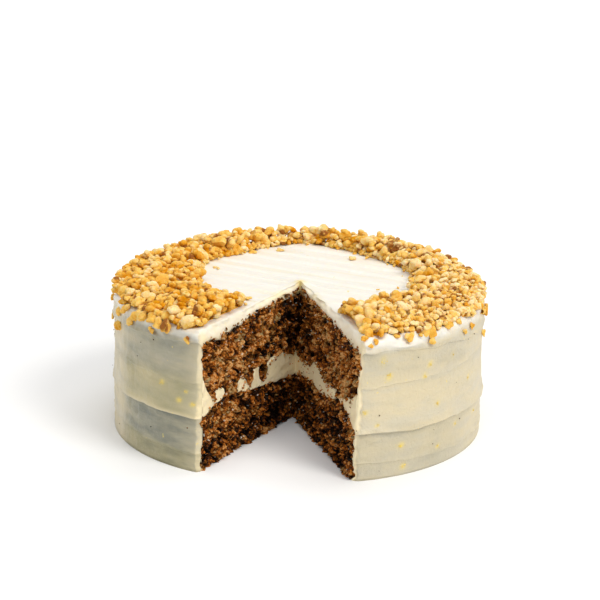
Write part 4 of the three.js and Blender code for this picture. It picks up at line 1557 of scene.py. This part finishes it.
@dataclass
class WalnutRing:
    """The ring of chopped walnuts: a core of its own, and on it a heap of loose pieces."""

    back_width: float = 12.0
    growth: float = 43.0
    skew: float = 5.0
    back_angle: float = 95.0
    waist: float = 0.42
    crests: tuple[Triple, ...] = (
        (174.9, 45.0, 8.4), (150.7, 31.9, 7.4), (156.0, 23.0, 7.0), (176.6, 20.5, 7.0), (-137.2, 26.2, 7.6),
        (-127.7, 7.5, 7.4), (-131.0, 34.5, 7.4), (-120.5, 13.0, 7.0), (-119.0, 26.5, 6.4), (123.5, 10.2, 7.4),
        (108.8, 7.5, 6.6), (77.6, 11.2, 7.6), (66.7, 19.0, 7.4), (53.5, 18.7, 6.8), (28.6, 31.5, 8.0),
        (0.1, 35.0, 6.4), (2.7, 28.0, 6.2), (-32.4, 36.5, 7.8), (-37.7, 41.0, 5.8), (-61.3, 29.5, 7.8),
        (-58.1, 20.5, 6.0), (-42.7, 20.4, 6.6), (-34.4, 17.7, 6.6), (101.5, 4.6, 6.4), (100.0, 5.2, 5.4),
        (89.5, 5.0, 7.0), (86.6, 5.6, 6.4), (83.8, 6.6, 5.8),
    )
    cut_margin: float = 2.2
    cover: float = 5.2
    heap_height: float = 7.0
    edge_height: float = 2.7
    hem_step: float = 2.1
    largest: float = 8.4
    smallest: float = 4.3
    finest: float = 3.0
    tries: int = 60000
    limit: int = 3600
    cell: float = 0.5
    sunk: float = 0.36
    summit: float = 85.4
    half: float = 106.0
    inner_waves: tuple[Triple, ...] = ((2.2, 7, 0), (1.6, 12, 60))
    inner_ragged: Relief = Relief(1.8, 4.3, 9, 101)
    outer_ragged: Relief = Relief(1.4, 3.1, 1, 109)
    uneven: Relief = Relief(1.8, 9, 9, 103)
    core_bumps: Relief = Relief(0.8, 1.9, 1.9, 105)
    core_tone: Relief = Relief(0.2, 1.9, 1.9, 107)
    large: float = 4.75
    middling: float = 3.9

    def __post_init__(self) -> None:
        """Starts the height of the heap at its core, and measures how far every place lies from the edges."""
        self.groups: tuple[Scatter, ...] = ()
        count = int(2 * self.half / self.cell)
        axis = -self.half + self.cell * (np.arange(count) + 0.5)
        self.grid_x, self.grid_y = np.meshgrid(axis, axis, indexing="ij")
        radius, angle = polar(self.grid_x, self.grid_y)
        self.ground = np.where(radius < CAKE.coat_wall(angle, CAKE.rim_start), 0, -12)
        self.ground = self.ground + CAKE.height - self.rim_drop(self.grid_x, self.grid_y)
        behind = CAKE.from_slice(self.grid_x, self.grid_y, CAKE.height)
        self.ground = np.where(behind > 0, self.ground, 0)
        self.surface = self.ground + self.core(self.grid_x, self.grid_y)
        self.top = self.ground + self.wanted(self.grid_x, self.grid_y)
        across, width = self.across(self.grid_x, self.grid_y), self.width(angle)
        self.room = np.minimum(behind - self.cut_margin, (1 - across) * width)
        self.room = np.minimum(self.room, across * width + 1.2)

    def rim_drop(self, x: Any, y: Any) -> Any:
        """How far the cream's surface falls at its rounded rim."""
        radius, angle = polar(x, y)
        wall = CAKE.coat_wall(angle, CAKE.rim_start)
        into_rim = np.clip(CAKE.rim_rounding - (wall - radius), 0, CAKE.rim_rounding)
        return CAKE.rim_rounding - np.sqrt(CAKE.rim_rounding**2 - into_rim**2)

    def width(self, angle: Any) -> Any:
        """How far from the rim the ring's inner edge lies."""
        away = np.abs(sin((angle - self.back_angle) / 2))
        growth = self.growth + self.skew * sin(angle - self.back_angle)
        wobble = wavy(0, angle, self.inner_waves)
        return (self.back_width + (growth + wobble) * away) * (1 - self.waist * bell(away, 0.1))

    def bare(self, angle: Any) -> Any:
        """How far from the rim its outer edge lies, which steps back beside the missing slice."""
        from_slice = np.mod(angle + 270, 360) - 180
        left = 7.0 * (1 - smoothstep(np.abs(from_slice), 24, 34))
        left = np.maximum(left, 2.6 * (1 - smoothstep(np.abs(from_slice), 62, 80)))
        right = 4.0 * (1 - smoothstep(np.abs(from_slice), 36, 46))
        ragged = self.outer_ragged.at(angle, 0 * angle) * smoothstep(cos(angle + 90), 0, 0.4)
        return 0.5 + np.where(from_slice < 0, left, right) + ragged

    def across(self, x: Any, y: Any) -> Any:
        """Where a point lies across the ring, from 0 at the outer edge to 1 at the inner."""
        radius, angle = polar(x, y)
        inward = CAKE.coat_wall(angle, CAKE.rim_start) - radius
        bare = self.bare(angle)
        ragged = self.inner_ragged.at(angle, radius)
        return (inward - bare) / (self.width(angle) + ragged - bare)

    def wanted(self, x: Any, y: Any) -> Any:
        """How high the heap should stand over the cream at a place."""
        across = self.across(x, y)
        dome = 1 - np.abs(2 * np.clip(across, 0, 1) - 1) ** 1.8
        angle = polar(x, y)[1]
        back = smoothstep(cos(angle - self.back_angle), 0.5, 0.9)
        edge = self.edge_height * (1 + back)
        return edge + (self.heap_height - edge + 0.6 * back + self.uneven.at(x, y)) * dome

    def core(self, x: Any, y: Any) -> Any:
        """How high the core stands over the cream: it follows the heap, and is nothing at the heap's edges."""
        across = np.clip(self.across(x, y), 0, 1)
        dome = np.clip(1.15 - 1.15 * np.abs(2 * across - 1) ** 2, 0, 1)
        width = self.width(polar(x, y)[1])
        dome = dome * smoothstep(width, 8, 15) * smoothstep((1 - across) * width, 2.6, 6.5)
        low = np.maximum(self.wanted(x, y) - self.cover, 0.9)
        return (low + self.core_bumps.at(x, y)) * dome

    def bed(self) -> tuple[bpy.types.Mesh, Array, dict[str, Array]]:
        """Builds the core that the pieces lie on.

        Returns:
            Its mesh, its points and the values that its finish reads.
        """
        wedge = Wedge(22, 3, 240, sectors=12, open_middle=True)
        mesh = to_mesh("walnut_bed", wedge.build())
        spread = Spread.of(mesh, wedge)
        z = np.full(spread.turn.shape, CAKE.height)
        outer = CAKE.reach(spread.turn, z, lambda a: CAKE.coat_wall(a, 70.5) - self.bare(a) - 2.4)
        inner = CAKE.reach(spread.turn, z, lambda a: CAKE.coat_wall(a, 70.5) - self.width(a) + 3.8)
        x, y = CAKE.at(spread.turn, lerp(inner, outer, spread.share), z)
        behind = np.maximum(self.cut_margin + 4.0 - CAKE.from_slice(x, y, CAKE.height), 0)
        side = np.where(x > CAKE.tip(CAKE.height)[0], 1, -1)
        x = x + side * behind * cos(CAKE.half_angle)
        y = y + behind * sin(CAKE.half_angle)
        low = CAKE.height - self.rim_drop(x, y)
        points = np.stack([x, y, low + lerp(-3.0, self.core(x, y) - 0.2, spread.level)], 1)
        tone = 0.14 + self.core_tone.at(x, y)
        return mesh, points, {"tone": tone, "skin": 0 * tone}

    def index(self, x: float, y: float) -> tuple[int, int]:
        """The grid's cell that a place lies in."""
        return int((x + self.half) / self.cell), int((y + self.half) / self.cell)

    def rest(self, x: float, y: float, size: float, thickness: float) -> tuple[float, tuple[slice, slice], Array]:
        """Finds where a piece would come to rest on the heap.

        Args:
            x: Where it falls.
            y: Where it falls.
            size: Its width.
            thickness: Its height as it lies.

        Returns:
            The height of its middle, the part of the grid under it and the height of its upper half there.
        """
        reach = 0.5 * size
        i, j = self.index(x, y)
        span = int(reach / self.cell) + 1
        window = (slice(i - span, i + span + 1), slice(j - span, j + span + 1))
        distance = np.hypot(self.grid_x[window] - x, self.grid_y[window] - y) / reach
        half = 0.5 * thickness * np.sqrt(np.clip(1 - distance**2, 0, 1))
        middle = float(np.where(distance < 1, self.surface[window] + half, -1e3).max())
        return middle - self.sunk * 0.5 * thickness, window, np.where(distance < 1, half, -1e3)

    def settle(self, x: float, y: float, size: float, thickness: float) -> Triple:
        """Rolls a piece to the lowest of a few places round where it falls.

        Args:
            x: Where it falls.
            y: Where it falls.
            size: Its width.
            thickness: Its height as it lies.

        Returns:
            Its middle's place.
        """
        best = (x, y, self.rest(x, y, size, thickness)[0])
        for turn in range(0, 360, 60):
            near_x, near_y = x + 0.45 * size * cos(turn), y + 0.45 * size * sin(turn)
            if self.room[self.index(near_x, near_y)] > 0.3 * size:
                middle = self.rest(near_x, near_y, size, thickness)[0]
                if middle < best[2]:
                    best = (near_x, near_y, middle)
        return best

    def heap(self) -> None:
        """Drops pieces of all sizes over the ring wherever the heap isn't yet high enough, then fills the gaps."""
        random = np.random.default_rng(5)
        share = np.arange(self.tries) / self.tries
        angle, pick, jitter, flat, over = random.uniform(size=(5, self.tries))
        radius = 101 * np.sqrt(lerp(0.13, 1.0, pick))
        x, y = radius * cos(360 * angle), radius * sin(360 * angle)
        right = lerp(1.0, 0.62, smoothstep(x - 0.25 * y, 50, 90))
        size = lerp(self.smallest, self.largest, jitter**1.5) * right
        size = np.where(share > 0.75, lerp(self.finest, self.smallest, jitter) * right**0.5, size)
        thick = size * lerp(0.68, 0.95, flat)
        placed = 0
        for k in range(self.tries):
            if k == self.tries // 5:
                self.crown()
            here = self.index(x[k], y[k])
            needed = 0.35 * thick[k] if share[k] < 0.75 else 1.1 * thick[k]
            if self.room[here] < 0.3 * size[k] or self.surface[here] + needed > self.top[here]:
                continue
            at = self.settle(x[k], y[k], size[k], thick[k])
            if at[2] + 0.5 * thick[k] > self.top[here] + 0.2 * size[k] + 1.9 * over[k] ** 2:
                continue
            self.place(at, size[k], thick[k])
            placed += 1
            if placed >= self.limit:
                break
        log.info("heap: %d pieces, the last at %.2f of the tries", placed, share[k])
        self.mend()

    def mend(self) -> None:
        """Drops small pieces where the cream still shows inside the ring, and two rows along its back inner edge."""
        random = np.random.default_rng(6)
        width = self.width(polar(self.grid_x, self.grid_y)[1])
        holes = np.argwhere((self.surface - self.ground < 0.8) & (self.room > np.minimum(1.6, 0.13 * width)))
        for i, j in random.permutation(holes):
            if self.surface[i, j] - self.ground[i, j] < 0.8:
                x, y = self.grid_x[i, j], self.grid_y[i, j]
                size = random.uniform(self.finest, self.smallest)
                thick = 0.8 * size
                middle = min(self.rest(x, y, size, thick)[0], self.ground[i, j] + 0.8 * thick)
                self.place((x, y, middle), size, thick)
        for angle in np.arange(30, 170, self.hem_step):
            size = random.uniform(self.finest, self.smallest)
            for row, rise in enumerate((0.3, 0.75)):
                inward = float(self.width(angle)) - random.uniform(0.6, 2.4) - 1.9 * row
                radius = float(CAKE.coat_wall(angle, CAKE.rim_start)) - inward
                x, y = radius * cos(angle), radius * sin(angle)
                self.place((x, y, CAKE.height + rise * size), size, 0.8 * size)

    def crown(self) -> None:
        """Sets the largest pieces into the heap, where they stand out of it."""
        for crest, inward, size in self.crests:
            x, y = (CAKE.radius - inward) * cos(crest), (CAKE.radius - inward) * sin(crest)
            thick = 0.8 * size
            middle = self.rest(x, y, size, thick)[0] - 0.3 * thick
            self.place((x, y, min(middle, self.summit - 0.56 * thick)), size, thick)

    def place(self, at: Triple, size: float, thick: float) -> None:
        """Adds a piece to the group of its size, and raises the heap under it.

        Args:
            at: Its middle's place.
            size: Its width.
            thick: Its height as it lies.
        """
        _, window, half = self.rest(at[0], at[1], size, thick)
        self.surface[window] = np.maximum(self.surface[window], at[2] + 0.95 * half)
        group = self.groups[0 if size > self.large else 1 if size > self.middling else 2]
        random = group.random
        sizes = (size * random.uniform(1.05, 1.3), size * random.uniform(0.85, 1.0), thick)
        # Painted shade darkens the pieces on the cake's left, towards -X and the front; towards +X they are paler.
        paler = 0.16 * smoothstep(at[0], 10, 70) - 0.13 * smoothstep(-at[0] - 0.4 * at[1], 0, 50)
        tone = float(np.clip(random.normal(0.53, 0.27) + paler, 0.05, 1))
        skins = 0.08 + 0.10 * smoothstep(abs(at[0] + 0.6 * at[1]), 0, 50)
        group.add(np.array(at), sizes, turned(random, 35), tone, random.uniform() < skins)

    def build(self) -> tuple[Scatter, ...]:
        """Builds the heap.

        Returns:
            Its large, middling and small pieces.
        """
        fine = [Bit.chopped(seed, 3, 0.3, (0, 1, 0, 2)[seed % 4]) for seed in range(20)]
        plain = [Bit.chopped(seed, 2, 0.3, seed % 3) for seed in range(20, 36)]
        self.groups = (
            Scatter("walnuts_large", fine, 21, 0.16),
            Scatter("walnuts_middling", fine, 22, 0.16),
            Scatter("walnuts_small", plain, 26, 0.12),
        )
        self.heap()
        return self.groups

    def dress(self, material: bpy.types.Material) -> None:
        """Finishes the core and the groups of pieces."""
        mesh, points, carried = self.bed()
        finished("walnut_bed", mesh, points, material, "walnut", ["walnut_ring"], carried)
        for group in self.build():
            group.dress(material, "walnut", ["walnut_ring"])


@dataclass
class Strays:
    """What sticks to the cream outside the ring: single walnuts, flecks of zest and crumbs."""

    side_walnuts: tuple[Triple, ...] = (
        (-157.5, 60.0, 5.4), (-155.5, 69.2, 3.6), (-155.0, 74.2, 4.8), (-149.5, 73.4, 5.6), (-144.5, 68.8, 4.4),
        (-141.8, 73.0, 5.8), (-138.4, 73.8, 5.4), (-134.2, 74.2, 6.6), (-130.8, 73.2, 5.6), (-133.2, 69.2, 3.4),
        (-127.0, 72.8, 5.8), (-122.8, 74.6, 3.2), (-118.7, 70.0, 3.2), (-65.5, 74.4, 3.4), (-61.8, 73.0, 3.0),
        (-63.8, 71.5, 2.6), (-54.5, 74.2, 3.4), (-50.8, 72.8, 5.2), (-46.5, 72.8, 2.2), (-44.0, 74.0, 5.6),
        (-41.6, 72.6, 5.2), (-42.0, 68.8, 4.6), (-38.5, 74.4, 4.8), (-33.5, 74.4, 5.8), (-28.0, 73.4, 3.6),
        (-25.0, 67.2, 3.0), (-19.8, 67.8, 3.4), (-9.0, 71.0, 4.0), (-2.5, 68.0, 5.0), (-3.5, 56.0, 3.8),
    )
    top_walnuts: tuple[Triple, ...] = (
        (-24.6, -27.4, 4.0), (23.8, 61.7, 5.0), (42.0, 1.2, 1.6), (52.4, 6.9, 1.6), (-49.6, 31.0, 2.4),
        (-47.7, 29.2, 2.0), (-32.9, 66.4, 4.6), (-17.9, 73.4, 4.4),
    )
    round_back: int = 24
    fringe: int = 80
    filling_crumbs: tuple[tuple[Side, int, float], ...] = ((Side.LEFT, 50, 3), (Side.RIGHT, 110, 1.8))
    edge_crumbs: int = 30
    side_crumbs: int = 46

    def on_side(self, angle: float, z: float, out: float) -> tuple[Array, Array]:
        """A point on the coat's side and the direction out of it there.

        Args:
            angle: The angle about the cake's axis.
            z: The height.
            out: How far the point lies outside the cream.

        Returns:
            The point and the direction.
        """
        over = max(z - CAKE.rim_start, 0)
        in_rim = CAKE.rim_rounding - math.sqrt(max(CAKE.rim_rounding**2 - over**2, 0))
        lean = over / CAKE.rim_rounding
        level = math.sqrt(1 - min(lean, 1) ** 2)
        normal = np.array([cos(angle) * level, sin(angle) * level, lean])
        radius = float(CAKE.coat_wall(angle, min(z, CAKE.rim_start))) - in_rim
        return np.array([radius * cos(angle), radius * sin(angle), z]) + out * normal, normal

    def walnuts(self) -> Scatter:
        """Builds the walnuts on the side and on the bare cream of the top."""
        group = Scatter("walnuts_stray", [Bit.chopped(30 + s, 3, 0.45, 1 + s % 2) for s in range(10)], 23, 0.1)
        random = group.random
        ring = WalnutRing()
        places = list(self.side_walnuts)
        for count in range(self.round_back):
            angle = -8 + 210 * (count + random.uniform(0, 0.8)) / self.round_back
            places.append((angle, CAKE.height - 1.2 - 13 * random.uniform() ** 2, random.uniform(2.6, 5.0)))
        for angle, z, size in places:
            place, normal = self.on_side(angle, z, 0.12 * size)
            size *= 1.18 if angle < -110 else 1.05
            sizes = (1.1 * size, 0.9 * size, 0.72 * size)
            group.add(place, sizes, facing(normal, random), random.uniform(0.25, 0.6), random.uniform() < 0.1)
        for x, y, size in self.top_walnuts:
            place = np.array([x, y, CAKE.height + 0.1 * size])
            group.add(place, (1.1 * size, 0.9 * size, 0.6 * size), turned(random, 15), random.uniform(0.45, 0.8))
        for _ in range(self.fringe):
            angle = 360 * random.uniform()
            beyond = 6.5 * random.uniform() ** 1.8 - 0.6
            radius = CAKE.radius - float(ring.width(angle)) - beyond
            x, y = radius * cos(angle), radius * sin(angle)
            size = lerp(3.6, 1.2, min(max(beyond, 0) / 5, 1)) * random.uniform(0.7, 1.1)
            if CAKE.from_slice(x, y, CAKE.height) > size:
                place = np.array([x, y, CAKE.height + 0.15 * size])
                group.add(place, (size, 0.8 * size, 0.7 * size), turned(random, 20), random.uniform(0.4, 0.85))
        return group

    def zest(self) -> Scatter:
        """Builds the flecks of zest on the side."""
        group = Scatter("zest_flecks", [Bit.chopped(50 + s, 1, 0.3, 0) for s in range(4)], 24)
        random = group.random
        for angle, z, size in ZEST_SPOTS:
            for _ in range(3):
                shift_angle, shift_z = 0.3 * size * random.normal(size=2)
                place, normal = self.on_side(angle + shift_angle, z + shift_z, 0.0)
                length = random.uniform(0.4, 0.75) * size
                group.add(place, (length, 0.5 * length, 0.35), facing(normal, random), 0.5)
        return group

    def on_face(self, group: Scatter, place: Array, size: float) -> None:
        """Adds a crumb on a cut face."""
        random = group.random
        group.add(place, (size, 0.8 * size, 0.7 * size), turned(random, 90), random.uniform(0.7, 1.1))

    def crumbs(self) -> Scatter:
        """Builds sponge crumbs: on the filling's cut faces, on the cream beside the cut, and a few elsewhere."""
        group = Scatter("sponge_crumbs", [Bit.chopped(70 + s, 2, 0.5, 1) for s in range(8)], 25)
        random = group.random
        for side, count, hug in self.filling_crumbs:
            for _ in range(count):
                along = 3 + 94 * random.uniform()
                radius, angle = polar(*CAKE.at(-90 + side.value * CAKE.half_angle, along, 35.0))
                cut = np.array([float(side.value)]), np.array([along]), radius, angle
                high = float(CUT.interface(CAKE.upper_floor, *cut)[0])
                low = float(CUT.interface(CAKE.lower_top, *cut)[0])
                depth = random.uniform() ** hug * 0.5 * max(high - low, 0.5)
                z = high - depth if random.uniform() < 0.62 else low + depth
                size = random.uniform(0.6, 2.2) * (1 - 0.35 * depth / 5)
                self.on_face(group, CAKE.on_cut(side, along, z, 0.15), size)
            for _ in range(self.edge_crumbs):
                along = 4 + 94 * random.uniform()
                cut = polar(*CAKE.at(-90 + side.value * CAKE.half_angle, along, 70.0))
                edge = float(CAKE.face(CAKE.upper_top, *cut))
                z = edge + 0.3 + 1.8 * random.uniform() ** 3
                self.on_face(group, CAKE.on_cut(side, along, z, -0.1), random.uniform(0.6, 1.6))
        for _ in range(self.side_crumbs):
            angle = -66 + 312 * random.uniform()
            place, normal = self.on_side(angle, 4 + 62 * random.uniform(), 0.1)
            size = random.uniform(0.35, 0.8)
            group.add(place, (size, size, 0.7 * size), facing(normal, random), random.uniform(0.1, 0.5))
        return group

    def dress(self, walnut: bpy.types.Material, zest: bpy.types.Material, sponge: bpy.types.Material) -> None:
        """Finishes the strays."""
        self.walnuts().dress(walnut, "walnut", ["cream_coat"])
        self.zest().dress(zest, "walnut", ["cream_coat"])
        self.crumbs().dress(sponge, "sponge", smooth_angle=60)


# ---- Studio ----


@dataclass(frozen=True)
class Lamp:
    """A far, soft light: its direction from the cake, its strength, its colour and how wide it looks."""

    name: str
    turn: float
    rise: float
    power: float
    spread: float
    colour: Colour = (1.0, 1.0, 1.0)


@dataclass
class Studio:
    """A white floor under broad soft lights, and the camera."""

    azimuth: float = 4.978
    elevation: float = 16.111
    distance: float = 1199.07
    aim: tuple[float, float, float] = (0.451, -4.0, 67.719)
    roll: float = 0.02112
    lens: float = 134.114
    sensor: float = 36.0
    nearest: float = 0.05
    farthest: float = 50.0
    floor_size: float = 9.0
    floor_white: Colour = (0.92, 0.92, 0.92)
    air: float = 0.40
    lamps: tuple[Lamp, ...] = (
        Lamp("key", -35, 42, 1.60, 26, (1.0, 0.97, 0.92)),
        Lamp("back_top", 60, 66, 0.70, 40),
        Lamp("front", -85, 60, 0.85, 50),
        Lamp("left_wall", 152, 20, 0.62, 50, (0.97, 0.99, 1.0)),
    )

    def floor(self) -> None:
        """Lays the floor."""
        plane = bmesh.new()
        bmesh.ops.create_grid(plane, x_segments=1, y_segments=1, size=self.floor_size)
        mesh = to_mesh("floor", plane)
        n = Nodes("white_floor")
        n.fill(n.shader, {"Base Color": self.floor_white, "Roughness": 0.9, "Specular IOR Level": 0.1})
        mesh.materials.append(n.material)
        piece = bpy.data.objects.new("floor", mesh)
        bpy.context.scene.collection.objects.link(piece)

    def heading(self, turn: float, rise: float) -> Vector:
        """The direction that lies at a turn from +X and a rise above the floor."""
        turn, rise = math.radians(turn), math.radians(rise)
        return Vector((math.cos(turn) * math.cos(rise), math.sin(turn) * math.cos(rise), math.sin(rise)))

    def lamp(self, lamp: Lamp) -> None:
        """Sets up one soft light."""
        light = bpy.data.lights.new(lamp.name, "SUN")
        light.energy, light.color, light.angle = lamp.power, lamp.colour, math.radians(lamp.spread)
        towards = self.heading(lamp.turn, lamp.rise)
        piece = bpy.data.objects.new(lamp.name, light)
        piece.location = towards
        piece.rotation_mode = "QUATERNION"
        piece.rotation_quaternion = towards.to_track_quat("Z", "Y")
        bpy.context.scene.collection.objects.link(piece)

    def lights(self) -> None:
        """Sets up the lights and the air's own soft light."""
        for lamp in self.lamps:
            self.lamp(lamp)
        world = bpy.data.worlds.new("studio")
        world.use_nodes = True
        sky = world.node_tree.nodes["Background"]
        sky.inputs["Color"].default_value = (1, 1, 1, 1)
        sky.inputs["Strength"].default_value = self.air
        bpy.context.scene.world = world
        bpy.context.scene.view_settings.view_transform = "Standard"

    def camera(self) -> None:
        """Sets up the camera."""
        lens = bpy.data.cameras.new("camera")
        lens.lens, lens.sensor_width = self.lens, self.sensor
        lens.clip_start, lens.clip_end = self.nearest, self.farthest
        back = self.heading(self.azimuth - 90, self.elevation)
        eye = bpy.data.objects.new("camera", lens)
        eye.rotation_mode = "QUATERNION"
        turn = (-back).to_track_quat("-Z", "Y")
        eye.rotation_quaternion = turn @ Matrix.Rotation(self.roll, 3, "Z").to_quaternion()
        eye.location = (Vector(self.aim) + back * self.distance) * MM
        bpy.context.scene.collection.objects.link(eye)
        bpy.context.scene.camera = eye

    def build(self) -> None:
        """Builds the studio."""
        self.floor()
        self.lights()
        self.camera()


def main() -> None:
    """Builds the cake in the order in which it is made, then the studio."""
    sponge, walnut, zest = SpongeFinish().material(), WalnutFinish().material(), ZestFinish().material()
    SpongeLayer("lower_sponge", "sponge_bottom", None, CAKE.lower_top, rows=76).dress(sponge)
    cream = CreamFinish().material()
    Filling().dress(cream)
    SpongeLayer("upper_sponge", "sponge_top", CAKE.upper_floor, CAKE.upper_top, rows=86, tone=0.06).dress(sponge)
    Coat().dress(cream)
    WalnutRing().dress(walnut)
    Strays().dress(walnut, zest, sponge)
    Studio().build()


if __name__ == "__main__":
    logging.basicConfig(level=logging.INFO, format="%(message)s")
    main()
